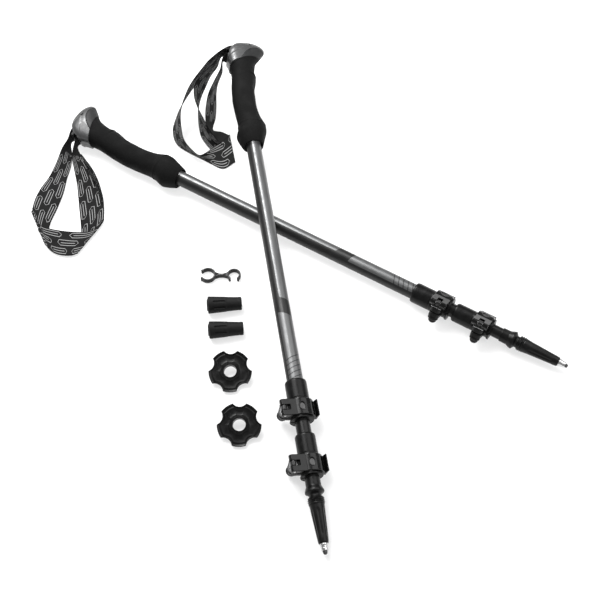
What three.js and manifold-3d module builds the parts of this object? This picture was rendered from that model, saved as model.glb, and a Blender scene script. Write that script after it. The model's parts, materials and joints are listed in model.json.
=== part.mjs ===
// A pair of three-section trekking poles lying on the ground, one crossing over the other, with their
// wrist straps and lever locks, and with two spare baskets, two rubber tip covers and a joining clip.
// Millimetres, +Z up. In a pole's own frame +X runs along the shaft from the head to the tip, +Y is the
// side of the head's beak and +Z is the side that faces up. The whole set stands on z = 0.

import * as THREE from 'three';
import { mergeVertices } from 'three/addons/utils/BufferGeometryUtils.js';
import Module from 'manifold-3d';

const wasm = await Module();
wasm.setup();

// ---------------------------------------------------------------- driving dimensions

const GAP = 0.3; // clearance between neighbouring pieces
const ROUND = 18; // sides of a round shaft
const SMALL_ROUND = 12; // sides of a pin or a bolt

const TUBE_WALL = 0.7;
const UPPER_TUBE_R = 9;
const MIDDLE_TUBE_R = 8;
const LOWER_TUBE_R = 7;

const UPPER_TUBE_START = 24.5;
const UPPER_LOCK_START = 494;
const MIDDLE_TUBE_TO_LOCK = 446; // middle shaft inside the upper one, ahead of the lower lock
const LOWER_TUBE_TO_TIP = 464; // lower shaft inside the middle one, ahead of the tip body

const SLEEVE_LENGTH = 24; // plain sleeve ahead of a lock's clamp ring
const CLAMP_LENGTH = 22;
const FLANGE_LENGTH = 1.2; // rim past the clamp ring
const TUBE_SEAT = 35; // depth of the outer shaft's seat in a lock
const LOCK_LENGTH = SLEEVE_LENGTH + CLAMP_LENGTH + FLANGE_LENGTH;
const BUSH_RING_LENGTH = 10;
const BUSH_PLUG_LENGTH = 9;
const BUSH_WALL = 1.6;
const COLLAR_WALL = 3; // a lock's collar stands this far out of its outer shaft
const RIM_RISE = 1.3;

const EAR_Y = -19; // eye bolt's line, behind the collar
const EAR_TOP = 6.5;
const SLIT = 2;
const PIN_Z = 11.6;
const PIN_R = 1.5;
const BOLT_R = 2;
const BOLT_END = -12.5;
const EYE_R = 3.2;
const EYE_HALF = 2.4;
const CAM_R = 4;
const LEVER_WIDTH = 19;
const LEVER_WALL = 2.4;
const NUT_R = 6;

const WEBBING_WIDTH = 25;
const WEBBING_THICKNESS = 2.6; // folded webbing, as one solid
const FLOOR_CLEARANCE = 0.4; // of webbing over the ground

const SLOT = { start: 7, end: 21.6, depth: 1, half: 12.9 }; // strap slot in the head
const SEAM_AT_AXIS = 33; // where the head meets the foam, on the axis
const SEAM_SLOPE = 0.36; // the seam runs nearer the head's top on the beak side

// head: where the pole's axis leaves the top of its head; heading: its direction on the ground;
// fall: how far its tip points down; rolls: the head and the locks are turned on the shaft;
// gaps: shaft showing between a lock and the next section, with both sections pushed nearly home
const POLES = [
  {
    side: 'left',
    head: [-292, 256.5, 19.3],
    heading: -31,
    fall: 0.63,
    headRoll: 13,
    lockRoll: -27,
    middleGap: 5,
    lowerGap: 11.5,
  },
  {
    side: 'right',
    head: [-84, 366, 52.5],
    heading: -80.8,
    fall: 3.8,
    headRoll: -10,
    lockRoll: -6.5,
    middleGap: 16,
    lowerGap: 1.5,
  },
];

// ---------------------------------------------------------------- finishes

const finish = (color, roughness, metalness) =>
  new THREE.MeshStandardMaterial({ color, roughness, metalness });

const FOAM = finish(0x1c1c1d, 0.95, 0);
const HEAD_SHELL = finish(0x8b8d90, 0.45, 0);
const HEAD_PANEL = finish(0x3b3c3e, 0.6, 0);
const WEBBING = finish(0x2a2a2c, 0.9, 0);
const BLACK_PLASTIC = finish(0x101011, 0.5, 0);
const GLOSS_BLACK = finish(0x0c0c0d, 0.25, 0);
const STEEL = finish(0xc4c6c8, 0.25, 1);
const GUNMETAL = finish(0x5c5e61, 0.35, 0.85);
const BLACK_TUBE = finish(0x1d1e20, 0.3, 0.7);
const CARBIDE = finish(0x4a4b4e, 0.35, 1);
const RUBBER = finish(0x242526, 0.8, 0);

// ---------------------------------------------------------------- solids

const rad = THREE.MathUtils.degToRad;

function signedVolume(points, index) {
  const corner = [0, 1, 2].map(() => new THREE.Vector3());
  let sum = 0;
  for (let i = 0; i < index.length; i += 3) {
    corner.forEach((c, k) => c.fromArray(points, 3 * index[i + k]));
    sum += corner[0].dot(corner[1].cross(corner[2]));
  }
  return sum / 6;
}

// the closed body of a geometry, with its faces pointing out
function solid(geometry) {
  const bare = geometry.index ? geometry.toNonIndexed() : geometry;
  bare.deleteAttribute('normal');
  bare.deleteAttribute('uv');
  const merged = mergeVertices(bare, 1e-4);
  const points = merged.attributes.position.array;
  const all = merged.index.array;
  let index = [];
  for (let i = 0; i < all.length; i += 3) {
    const [a, b, c] = all.slice(i, i + 3);
    if (a !== b && b !== c && c !== a) index.push(a, b, c);
  }
  if (signedVolume(points, index) < 0) index = index.reverse();
  return new wasm.Manifold(
    new wasm.Mesh({
      numProp: 3,
      vertProperties: new Float32Array(points),
      triVerts: new Uint32Array(index),
    }),
  );
}

const join = (first, ...others) => others.reduce((a, b) => a.add(b), first);
const cut = (first, ...others) => others.reduce((a, b) => a.subtract(b), first);

function addMesh(parent, name, body, material) {
  const { vertProperties, triVerts } = body.getMesh();
  const geometry = new THREE.BufferGeometry();
  geometry.setAttribute('position', new THREE.BufferAttribute(new Float32Array(vertProperties), 3));
  geometry.setIndex(new THREE.BufferAttribute(new Uint32Array(triVerts), 1));
  geometry.computeVertexNormals();
  const mesh = new THREE.Mesh(geometry, material);
  mesh.name = name;
  parent.add(mesh);
  return mesh;
}

// round rod along x
function rod(radius, from, to, sides = ROUND) {
  const geometry = new THREE.CylinderGeometry(radius, radius, to - from, sides);
  return solid(geometry.rotateZ(Math.PI / 2).translate((from + to) / 2, 0, 0));
}

// round pin along z through (x, y)
function pinZ(radius, x, y, from, to, sides = SMALL_ROUND) {
  const geometry = new THREE.CylinderGeometry(radius, radius, to - from, sides);
  return solid(geometry.rotateX(Math.PI / 2).translate(x, y, (from + to) / 2));
}

// profile of [x, radius] points turned about the x axis; it starts and ends on the axis
function turned(profile, sides = ROUND) {
  const points = profile.map(([x, r]) => new THREE.Vector2(r, x));
  return solid(new THREE.LatheGeometry(points, sides).rotateZ(-Math.PI / 2));
}

function block([x0, y0, z0], [x1, y1, z1]) {
  const geometry = new THREE.BoxGeometry(x1 - x0, y1 - y0, z1 - z0);
  return solid(geometry.translate((x0 + x1) / 2, (y0 + y1) / 2, (z0 + z1) / 2));
}

const outline = (points) => new THREE.Shape(points.map(([x, y]) => new THREE.Vector2(x, y)));

function plateGeometry(shape, depth) {
  return new THREE.ExtrudeGeometry(shape, { depth, bevelEnabled: false, curveSegments: 7 });
}

// outline in x and y, extruded from z0 to z1
const plate = (shape, z0, z1) => solid(plateGeometry(shape, z1 - z0).translate(0, 0, z0));

// outline in y and z, extruded from x0 to x1
function slab(shape, x0, x1) {
  const yzx = new THREE.Matrix4().makeBasis(
    new THREE.Vector3(0, 1, 0),
    new THREE.Vector3(0, 0, 1),
    new THREE.Vector3(1, 0, 0),
  );
  return solid(plateGeometry(shape, x1 - x0).applyMatrix4(yzx).translate(x0, 0, 0));
}

// skin over rings with the same number of corners, closed at both ends
function loft(rings) {
  const n = rings[0].length;
  const index = [];
  for (let i = 0; i < rings.length - 1; i += 1) {
    for (let k = 0; k < n; k += 1) {
      const a = i * n + k;
      const b = i * n + ((k + 1) % n);
      index.push(a, b, a + n, b, b + n, a + n);
    }
  }
  const last = (rings.length - 1) * n;
  for (let k = 1; k < n - 1; k += 1) {
    index.push(0, k + 1, k, last, last + k, last + k + 1);
  }
  const geometry = new THREE.BufferGeometry();
  const flat = rings.flat().flatMap((p) => p.toArray());
  geometry.setAttribute('position', new THREE.Float32BufferAttribute(flat, 3));
  geometry.setIndex(index);
  return solid(geometry);
}

// ---------------------------------------------------------------- grip and head

const GRIP_MIDDLE_Y = 4;
const GRIP_SIDES = 20;
const REAR_POWER = 4; // the rear of the head is boxy, its beak is slim
const BEAK_POWER = 1.8;

const signedPower = (value, power) => Math.sign(value) * Math.abs(value) ** power;

// ring across the pole at x, from rear to front in y and of half width side in z;
// near the top, where the rear slopes in past the usual middle, the ring's widest place moves forward
function gripRing([x, rear, front, side], rearPower, frontPower) {
  const middle = Math.max(GRIP_MIDDLE_Y, (3 * rear + front) / 4);
  return Array.from({ length: GRIP_SIDES }, (_, k) => {
    const angle = (2 * Math.PI * k) / GRIP_SIDES;
    const isFront = Math.cos(angle) >= 0;
    const reach = isFront ? front - middle : middle - rear;
    const power = 2 / (isFront ? frontPower : rearPower);
    const y = middle + reach * signedPower(Math.cos(angle), power);
    return new THREE.Vector3(x, y, side * signedPower(Math.sin(angle), power));
  });
}

// x, rear y, front y, half width
const HEAD_FORM = [
  [0.5, 9, 23, 5],
  [2, 3, 28.5, 9.5],
  [5, -3.5, 33.5, 12.8],
  [9, -8.6, 36, 14.8],
  [13, -12, 35.4, 15.8],
  [18, -14.6, 32, 16.3],
  [24, -15.4, 27.2, 16],
  [31, -14.4, 22.5, 15.2],
  [42, -12.8, 19.2, 14.6],
];

const FOAM_FORM = [
  [20, -15.3, 29.4, 15.9],
  [31, -14, 21.6, 15],
  [40, -12.8, 19, 14.6],
  [49, -12.6, 17.8, 14.5],
  [59, -13.5, 18, 14.7],
  [68, -14.8, 16.2, 14.9],
  [78, -15.8, 13.6, 15],
  [91, -16.6, 12.4, 15],
  [118, -15.6, 12.9, 15.4],
  [128, -14.9, 15, 16],
  [138, -15.4, 19, 17.2],
  [150, -18.6, 17.2, 18],
  [160, -16.8, 14.4, 16.2],
  [168, -12.9, 11.6, 12.4],
];

const headForm = () => loft(HEAD_FORM.map((row) => gripRing(row, REAR_POWER, BEAK_POWER)));

// the head's form shrunk by inset, on every other ring
function innerForm(inset) {
  const rows = HEAD_FORM.filter((_, i) => i % 2 === 0);
  const shrink = ([x, rear, front, side]) => [x + inset, rear + inset, front - inset, side - inset];
  return loft(rows.map((row) => gripRing(shrink(row), REAR_POWER, BEAK_POWER)));
}

const foamForm = () => loft(FOAM_FORM.map((row) => gripRing(row, 2.3, 2)));

// everything on the head's side of the slanted seam, less a clearance
function headSide(clearance) {
  const seam = (y) => SEAM_AT_AXIS - SEAM_SLOPE * y - clearance;
  return plate(outline([[-20, -60], [seam(-60), -60], [seam(60), 60], [-20, 60]]), -40, 40);
}

// the region of the light shell; the darker side panel lies below its curved edge
function shellRegion(shift) {
  const edge = [[16, 37], [12.5, 31], [12, 24], [15.5, 15], [22, 8], [30, 2], [40, -3], [44, -30]];
  const points = edge.map(([x, y]) => [x + shift, y]);
  return plate(outline([[-20, 60], [16 + shift, 60], ...points, [-20, -30]]), -40, 40);
}

const STRAP_PIN = { x: 14.3, y: -2.4, half: 14.6 };
const SHELL_WALL = 2.8;

function strapSlot() {
  return block([SLOT.start, -40, -SLOT.half], [SLOT.end, SLOT.depth, SLOT.half]);
}

const strapPin = () => pinZ(PIN_R, STRAP_PIN.x, STRAP_PIN.y, -STRAP_PIN.half, STRAP_PIN.half);

function strapPinHole() {
  const half = STRAP_PIN.half + GAP;
  return pinZ(PIN_R + GAP, STRAP_PIN.x, STRAP_PIN.y, -half, half);
}

function headCap() {
  const shell = headForm().intersect(shellRegion(0)).intersect(headSide(GAP / 2));
  return cut(shell, innerForm(SHELL_WALL), strapSlot(), strapPinHole());
}

function headCore() {
  const inner = innerForm(SHELL_WALL + 3 * GAP);
  const panel = cut(headForm(), shellRegion(GAP));
  const tubeSeat = rod(UPPER_TUBE_R + GAP, UPPER_TUBE_START - GAP, 60);
  const whole = join(panel, inner).intersect(headSide(GAP / 2));
  return cut(whole, strapSlot(), strapPinHole(), tubeSeat);
}

const gripFoam = () => cut(foamForm(), headSide(-GAP / 2), rod(UPPER_TUBE_R + GAP, 0, 200));

// block between the two strands, a little narrower at its inner end
function strapWedge() {
  const side = outline([[12.3, -15.6], [16.4, -15.6], [15.9, -5], [12.9, -5]]);
  const half = SLOT.half - 2 * GAP;
  return plate(side, -half, half);
}

// ---------------------------------------------------------------- shafts and tip

function tube(radius, from, to) {
  return cut(rod(radius, from, to), rod(radius - TUBE_WALL, from - 1, to + 1));
}

// plastic bush on a shaft's inner end: a plug in the shaft and a ring that runs in the next one
function guideBush(tubeRadius, end) {
  const plug = tubeRadius - TUBE_WALL - GAP;
  const ring = tubeRadius + 0.05;
  const from = end - BUSH_RING_LENGTH;
  const to = end + BUSH_PLUG_LENGTH;
  const body = turned([[from, 0], [from, ring], [end - GAP, ring], [end - GAP, plug], [to, plug], [to, 0]]);
  return cut(body, rod(plug - BUSH_WALL, from - 1, to + 1, SMALL_ROUND));
}

const TIP_LENGTH = 69.5;
const TIP_SEAT = 14; // depth of the lower shaft's seat in the tip body
const HOLDER_SEAT = 58.5; // where the bore for the steel holder starts
const HOLDER_BORE_R = 3.3;
const CARBIDE_STEM_R = 1.3;
const THREAD = { start: 22, end: 28, pitch: 2.2, crest: 8.8, root: 8.1 };

function tipBody(start) {
  const skirt = [[0, 0], [0, 8], [9, 8.15], [13.5, 10.1], [15.6, 10.3], [16.6, 8.6]];
  const neck = [[18, 6.6], [20.4, 6.6]];
  const thread = [];
  for (let x = THREAD.start; x < THREAD.end; x += THREAD.pitch) {
    thread.push([x, THREAD.crest], [x + THREAD.pitch / 2, THREAD.root]);
  }
  const taper = [[29.4, 7.9], [66, 5.6], [TIP_LENGTH, 5.1], [TIP_LENGTH, 0]];
  const profile = [...skirt, ...neck, ...thread, ...taper].map(([x, r]) => [x + start, r]);
  const shaftSeat = rod(LOWER_TUBE_R + GAP, start - 1, start + TIP_SEAT + GAP);
  const holderBore = rod(HOLDER_BORE_R, start + HOLDER_SEAT, start + TIP_LENGTH + 1, SMALL_ROUND);
  return cut(turned(profile), shaftSeat, holderBore);
}

function tipHolder(start) {
  const end = start + TIP_LENGTH;
  const from = start + HOLDER_SEAT + GAP;
  const stem = HOLDER_BORE_R - GAP;
  const collar = [[end + GAP, 4.5], [end + 1.6, 4.5], [end + 2.4, 4], [end + 7.6, 3.4], [end + 7.6, 0]];
  const body = turned([[from, 0], [from, stem], [end + GAP, stem], ...collar], SMALL_ROUND);
  return cut(body, rod(CARBIDE_STEM_R + GAP, end + 2, end + 8, SMALL_ROUND));
}

// carbide pin with a hollow crown
function carbideTip(start) {
  const end = start + TIP_LENGTH;
  const stem = [[2.3, 0], [2.3, CARBIDE_STEM_R], [7.9, CARBIDE_STEM_R]];
  const crown = [[7.9, 2.5], [9.6, 2.2], [11, 1.2], [10.4, 0]];
  const profile = [...stem, ...crown].map(([x, r]) => [x + end, r]);
  return turned(profile, SMALL_ROUND);
}

// ---------------------------------------------------------------- lever locks

// a lock's own frame: x from the start of its sleeve, +Z towards its hinge pin, ears at -Y
const CLAMP_START = SLEEVE_LENGTH;
const CLAMP_END = SLEEVE_LENGTH + CLAMP_LENGTH;
const LOCK_MIDDLE = SLEEVE_LENGTH + CLAMP_LENGTH / 2;

function ear(bottom, top) {
  const half = [[7, -9], [6, EAR_Y - 2.5], [3.5, EAR_Y - 4.6]];
  const right = half.map(([x, y]) => [LOCK_MIDDLE + x, y]);
  const left = half.map(([x, y]) => [LOCK_MIDDLE - x, y]).reverse();
  return plate(outline([...right, ...left]), bottom, top);
}

function lockCollar(outerTube) {
  const wall = outerTube + COLLAR_WALL;
  const rim = wall + RIM_RISE;
  const sleeve = [[0, 0], [0, wall - 0.8], [0.8, wall], [CLAMP_END - 1.4, wall]];
  const flange = [[CLAMP_END - 0.4, rim], [LOCK_LENGTH, rim], [LOCK_LENGTH, 0]];
  const body = turned([...sleeve, ...flange]);
  const ears = [ear(SLIT / 2, EAR_TOP), ear(-EAR_TOP, -SLIT / 2)];
  const outerSeat = rod(outerTube + GAP, -1, TUBE_SEAT + GAP);
  const throat = rod(outerTube - 1 + GAP, TUBE_SEAT, LOCK_LENGTH + 1);
  const slit = block([CLAMP_START + 2, -40, -SLIT / 2], [LOCK_LENGTH + 1, 0, SLIT / 2]);
  const boltHole = pinZ(BOLT_R + GAP, LOCK_MIDDLE, EAR_Y, -20, 20);
  return cut(join(body, ...ears), outerSeat, throat, slit, boltHole);
}

// plate between the lever's cam and the upper ear
function camPlate() {
  const x = LOCK_MIDDLE;
  const z = EAR_TOP + GAP;
  const base = block([x - 6, EAR_Y - 4, z], [x + 6, EAR_Y + 4.5, z + 0.5]);
  return cut(base, pinZ(BOLT_R + GAP, x, EAR_Y, 0, 20));
}

function hingePin() {
  const half = LEVER_WIDTH / 2;
  const end = PIN_R - 0.3;
  const shank = half - 0.4;
  const profile = [[-half, 0], [-half, end], [-shank, PIN_R], [shank, PIN_R], [half, end], [half, 0]];
  return turned(profile, SMALL_ROUND).translate([LOCK_MIDDLE, EAR_Y, PIN_Z]);
}

function eyeBolt() {
  const x = LOCK_MIDDLE;
  const onPin = [0, EAR_Y, PIN_Z];
  const alongPin = (radius, half) => rod(radius, x - half, x + half, SMALL_ROUND).translate(onPin);
  const shank = pinZ(BOLT_R, x, EAR_Y, BOLT_END, PIN_Z);
  return cut(join(alongPin(EYE_R, EYE_HALF), shank), alongPin(PIN_R + GAP, LEVER_WIDTH));
}

function thumbNut() {
  const flange = [[0, 0], [0, NUT_R], [-1.8, NUT_R]];
  const dome = [[-2.6, NUT_R - 1.2], [-5.4, NUT_R - 1.6], [-7, NUT_R - 3], [-7.4, 0]];
  const upright = turned([...flange, ...dome], 20).rotate([0, -90, 0]);
  const body = upright.translate([LOCK_MIDDLE, EAR_Y, -EAR_TOP - GAP]);
  return cut(body, pinZ(BOLT_R + GAP, LOCK_MIDDLE, EAR_Y, BOLT_END - GAP, 0));
}

// the lever's section in y and z: a cam round the hinge pin, a shell over the collar and a curled lip
function leverSection(collarRadius) {
  const inner = collarRadius + 0.7;
  const outer = inner + LEVER_WALL;
  const shape = new THREE.Shape();
  shape.absarc(EAR_Y, PIN_Z, CAM_R, rad(-60), rad(110), true);
  shape.absarc(0, 0, outer, rad(112), rad(4), true);
  shape.lineTo(outer + 2.8, 7.4);
  shape.lineTo(outer + 4, 6.8);
  shape.lineTo(outer + 1.6, -4.6);
  shape.absarc(0, 0, inner, rad(-18), rad(118), false);
  return shape;
}

function lockLever(outerTube) {
  const from = LOCK_MIDDLE - LEVER_WIDTH / 2;
  const to = LOCK_MIDDLE + LEVER_WIDTH / 2;
  const collar = outerTube + COLLAR_WALL;
  const body = slab(leverSection(collar), from, to);
  const fork = block([LOCK_MIDDLE - 3, EAR_Y - 9, 0], [LOCK_MIDDLE + 3, EAR_Y + 7, 30]);
  const pinHole = rod(PIN_R + GAP, from - 1, to + 1, SMALL_ROUND).translate([0, EAR_Y, PIN_Z]);
  const window = new THREE.CylinderGeometry(1, 1, 20, 12).rotateX(Math.PI / 2).scale(3.9, 2.9, 1);
  return cut(body, fork, pinHole, solid(window.translate(LOCK_MIDDLE, 0.5, collar + 6)));
}

function buildLock(roll, prefix, start, outerTube) {
  const frame = new THREE.Group();
  frame.position.x = start;
  frame.rotation.x = rad(roll);
  addMesh(frame, `${prefix}_collar`, lockCollar(outerTube), BLACK_PLASTIC);
  addMesh(frame, `${prefix}_lever`, lockLever(outerTube), GLOSS_BLACK);
  addMesh(frame, `${prefix}_cam_plate`, camPlate(), STEEL);
  addMesh(frame, `${prefix}_hinge_pin`, hingePin(), STEEL);
  addMesh(frame, `${prefix}_eye_bolt`, eyeBolt(), STEEL);
  addMesh(frame, `${prefix}_thumb_nut`, thumbNut(), BLACK_PLASTIC);
  return frame;
}

// ---------------------------------------------------------------- one pole

function buildPole(pole) {
  const named = (part) => `${pole.side}_${part}`;
  const frame = new THREE.Group();
  frame.position.set(...pole.head);
  frame.rotation.set(0, rad(pole.fall), rad(pole.heading), 'ZYX');

  const head = new THREE.Group();
  head.rotation.x = rad(pole.headRoll);
  addMesh(head, named('grip_foam'), gripFoam(), FOAM);
  addMesh(head, named('head_core'), headCore(), HEAD_PANEL);
  addMesh(head, named('head_cap'), headCap(), HEAD_SHELL);
  addMesh(head, named('strap_pin'), strapPin(), STEEL);
  addMesh(head, named('strap_wedge'), strapWedge(), BLACK_PLASTIC);
  frame.add(head);

  const lowerLock = UPPER_LOCK_START + LOCK_LENGTH + pole.middleGap;
  const tip = lowerLock + LOCK_LENGTH + pole.lowerGap;
  const middleStart = lowerLock - MIDDLE_TUBE_TO_LOCK;
  const lowerStart = tip - LOWER_TUBE_TO_TIP;

  const upperShaft = tube(UPPER_TUBE_R, UPPER_TUBE_START, UPPER_LOCK_START + TUBE_SEAT);
  const middleShaft = tube(MIDDLE_TUBE_R, middleStart, lowerLock + TUBE_SEAT);
  const lowerShaft = tube(LOWER_TUBE_R, lowerStart, tip + TIP_SEAT);
  addMesh(frame, named('upper_shaft'), upperShaft, GUNMETAL);
  addMesh(frame, named('middle_shaft'), middleShaft, BLACK_TUBE);
  addMesh(frame, named('middle_guide_bush'), guideBush(MIDDLE_TUBE_R, middleStart), BLACK_PLASTIC);
  addMesh(frame, named('lower_shaft'), lowerShaft, BLACK_TUBE);
  addMesh(frame, named('lower_guide_bush'), guideBush(LOWER_TUBE_R, lowerStart), BLACK_PLASTIC);
  addMesh(frame, named('tip_body'), tipBody(tip), BLACK_PLASTIC);
  addMesh(frame, named('tip_holder'), tipHolder(tip), STEEL);
  addMesh(frame, named('carbide_tip'), carbideTip(tip), CARBIDE);
  frame.add(buildLock(pole.lockRoll, named('upper_lock'), UPPER_LOCK_START, UPPER_TUBE_R));
  frame.add(buildLock(pole.lockRoll, named('lower_lock'), lowerLock, MIDDLE_TUBE_R));
  frame.updateMatrixWorld(true);
  return { frame, head };
}

// ---------------------------------------------------------------- wrist straps

// ribbon through stations of [centre, width direction]
function ribbon(stations, width = WEBBING_WIDTH, thickness = WEBBING_THICKNESS) {
  const centres = stations.map(([c]) => c);
  const rings = stations.map(([centre, across], i) => {
    const before = centres[Math.max(i - 1, 0)];
    const after = centres[Math.min(i + 1, centres.length - 1)];
    const along = after.clone().sub(before);
    const wide = across.clone().normalize();
    const thick = wide.clone().cross(along).normalize().multiplyScalar(thickness / 2);
    const flat = thick.clone().cross(along).normalize().multiplyScalar(width / 2);
    if (flat.dot(wide) < 0) flat.negate();
    return [[1, 1], [1, -1], [-1, -1], [-1, 1]].map(([a, b]) =>
      centre.clone().addScaledVector(flat, a).addScaledVector(thick, b),
    );
  });
  return loft(rings);
}

// stations from lists of [x, y, z, width direction x, y, z]
const stationsOf = (rows) =>
  rows.map(([x, y, z, u, v, w]) => [new THREE.Vector3(x, y, z), new THREE.Vector3(u, v, w)]);

// the straight stretch of strap from inside the slot to behind the head, clear of the sliding wedge
function slotStations(head, x) {
  const origin = head.localToWorld(new THREE.Vector3());
  const across = head.localToWorld(new THREE.Vector3(0, 0, 1)).sub(origin);
  return SLOT_STATION_Y.map((y) => [head.localToWorld(new THREE.Vector3(x, y, 0)), across]);
}

const STRAND_X = [9.2, 19.6]; // the strap leaves the slot on both sides of its wedge
const SLOT_STATION_Y = [-5, -17, -25];
const STRAND_WIDTH = 19.6; // where a strand leaves the slot it is curled a little across its width
const NARROW_STRAND_WIDTH = 14.6; // two strands lie over each other here
const TAIL_WIDTH = 12;

function floorPlate(points, hole, top) {
  const shape = outline(points);
  if (hole) shape.holes.push(new THREE.Path(hole.map(([x, y]) => new THREE.Vector2(x, y))));
  return plate(shape, FLOOR_CLEARANCE, top);
}

// strap of the left pole: its loop lies flat on the ground, its free end stands on edge beside it
function leftStrap(head) {
  const loop = floorPlate(
    [[-302, 224], [-309, 198], [-321, 178], [-329, 150], [-330, 132], [-324, 116], [-304, 75], [-293, 64],
      [-276, 61], [-265, 65], [-245, 101], [-240, 118], [-242, 148], [-252, 172], [-272, 212], [-282, 226]],
    [[-289, 208], [-295, 188], [-295, 157], [-306, 106], [-266, 98], [-277, 150]],
    3.4,
  );
  const outer = ribbon([
    ...slotStations(head, STRAND_X[0]),
    ...stationsOf([[-294, 229, 11, 0.5, 0.3, 0.8], [-298, 213, 2.4, 1, 0.2, 0.1]]),
  ], STRAND_WIDTH);
  const inner = ribbon([
    ...slotStations(head, STRAND_X[1]),
    ...stationsOf([[-285, 222, 10, 0.8, 0.1, 0.6], [-281, 204, 2.4, 1, 0.4, 0.05]]),
  ], STRAND_WIDTH);
  const tail = ribbon(stationsOf([
    [-274, 214, 7, 0.5, 0.3, 0.8], [-264, 198, 6, 0.6, 0.3, 0.7], [-253, 178, 5, 0.8, 0.3, 0.5],
    [-248, 156, 4.4, 1, 0, 0.3],
  ]), TAIL_WIDTH);
  return join(loop, outer, inner, tail);
}

// strap of the right pole: three strands drop from the raised head to a folded bunch on the ground
function rightStrap(head) {
  const bunch = floorPlate(
    [[-146, 224], [-127, 209], [-111, 199], [-98, 196], [-83, 208], [-91, 254], [-112, 268], [-128, 266],
      [-136, 250]],
    null,
    5,
  );
  const outer = ribbon([
    ...slotStations(head, STRAND_X[0]),
    ...stationsOf([[-119, 335, 46, 0.1, 0.1, 1], [-137, 316, 38, 0, 0, 1], [-149, 297, 29, -0.2, 0, 1],
      [-155, 276, 20, -0.5, 0, 0.9], [-154, 252, 10, -0.9, -0.2, 0.4], [-142, 228, 4, -0.8, -0.6, 0.1],
      [-122, 212, 3, -0.4, -0.9, 0]]),
  ], STRAND_WIDTH);
  const middle = ribbon([
    ...slotStations(head, STRAND_X[1]),
    ...stationsOf([[-118, 328, 40, 0.1, 0, 1], [-131, 306, 32, 0.3, 0, 1], [-134, 287, 22, 0.5, 0, 0.9],
      [-130, 266, 10, 0.9, 0, 0.4], [-121, 240, 3.4, 1, 0.3, 0]]),
  ], NARROW_STRAND_WIDTH);
  const inner = ribbon([
    ...slotStations(head, STRAND_X[1]),
    ...stationsOf([[-104, 322, 36, 0.6, 0.1, 0.8], [-113, 303, 24, 0.9, 0, 0.5], [-117, 282, 11, 1, 0, 0.2],
      [-117, 262, 4, 1, 0.1, 0], [-110, 240, 3.2, 1, 0, 0]]),
  ], NARROW_STRAND_WIDTH);
  return join(bunch, outer, middle, inner);
}

// ---------------------------------------------------------------- loose fittings

const BASKET_R = 24;
const BASKET_HOLE_R = 7;
const BASKET_HUB_R = 9.4;
const BASKET_LOBES = 5;
const SCALLOP = { distance: 29, radius: 9.5 }; // round gaps between the lobes
const BASKET_TIP = 16; // degrees it tips forward off its hub onto one lobe

// dished basket with five lobes, its hub below and its screw hole along z
function basket() {
  const hub = [[0, BASKET_HOLE_R], [0, BASKET_HUB_R], [3.4, BASKET_HUB_R + 0.4]];
  const under = [...hub, [3.9, 15], [6.2, BASKET_R]];
  const over = [[8.4, BASKET_R], [7.2, 19.5], [6.2, 15], [6.4, 11], [8, 9.6], [8, BASKET_HOLE_R]];
  const points = [...under, ...over, under[0]].map(([z, r]) => new THREE.Vector2(r, z));
  let body = solid(new THREE.LatheGeometry(points, 30).rotateX(Math.PI / 2));
  for (let k = 0; k < BASKET_LOBES; k += 1) {
    const angle = rad(90 + (360 / BASKET_LOBES) * k);
    const x = SCALLOP.distance * Math.cos(angle);
    const y = SCALLOP.distance * Math.sin(angle);
    body = cut(body, pinZ(SCALLOP.radius, x, y, -5, 20, ROUND));
  }
  return body;
}

function addBasket(parent, name, x, y) {
  const mesh = addMesh(parent, name, basket(), BLACK_PLASTIC);
  mesh.rotation.x = rad(BASKET_TIP);
  mesh.position.set(x, y, BASKET_HUB_R * Math.sin(rad(BASKET_TIP)));
}

const COVER_LENGTH = 40;
const COVER_SOLE_R = 10;
const COVER_MOUTH_R = 7.5;
const COVER_LEAN = 3.6; // degrees, so that its tapered side lies flat

// rubber cover that is pushed over a pole's tip, its sole at x = 0 and its mouth at the far end
function tipCover() {
  const sole = [[0, 0], [0, 6.5], [1, 7.2], [1.2, COVER_SOLE_R - 0.4], [2.4, COVER_SOLE_R]];
  const rim = [[COVER_LENGTH - 2, COVER_MOUTH_R], [COVER_LENGTH, COVER_MOUTH_R], [COVER_LENGTH, 0]];
  const side = [[4.4, COVER_SOLE_R - 0.2], ...rim];
  const socket = turned([[10, 0], [10, 3.4], [COVER_LENGTH + 1, 5.6], [COVER_LENGTH + 1, 0]], 20);
  let body = cut(turned([...sole, ...side]), socket);
  for (const angle of [12, 59, 192, 239]) {
    const groove = block([7, -1.1, COVER_MOUTH_R], [21, 1.1, COVER_SOLE_R + 5]);
    body = cut(body, groove.rotate([angle, 0, 0]));
  }
  return body;
}

function addTipCover(parent, name, x, y, heading) {
  const mesh = addMesh(parent, name, tipCover(), RUBBER);
  mesh.rotation.set(0, rad(COVER_LEAN), rad(heading), 'ZYX');
  mesh.position.set(x, y, COVER_SOLE_R + 0.1);
}

const CLIP_HEIGHT = 6;
const CLIP_WALL = 2.1;
const CLIP_LIP_R = 1.4;

// open ring of the clip: centre x, outer radius, and the angles where its jaw starts and ends
function clipRing(x, radius, from, to) {
  const shape = new THREE.Shape();
  shape.absarc(x, 0, radius, rad(from), rad(to), false);
  shape.absarc(x, 0, radius - CLIP_WALL, rad(to), rad(from), true);
  const reach = radius - CLIP_WALL / 2 + 0.6;
  const lips = [from, to].map((angle) => {
    const lipX = x + reach * Math.cos(rad(angle));
    return pinZ(CLIP_LIP_R, lipX, reach * Math.sin(rad(angle)), 0, CLIP_HEIGHT, 8);
  });
  return join(plate(shape, 0, CLIP_HEIGHT), ...lips);
}

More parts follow.
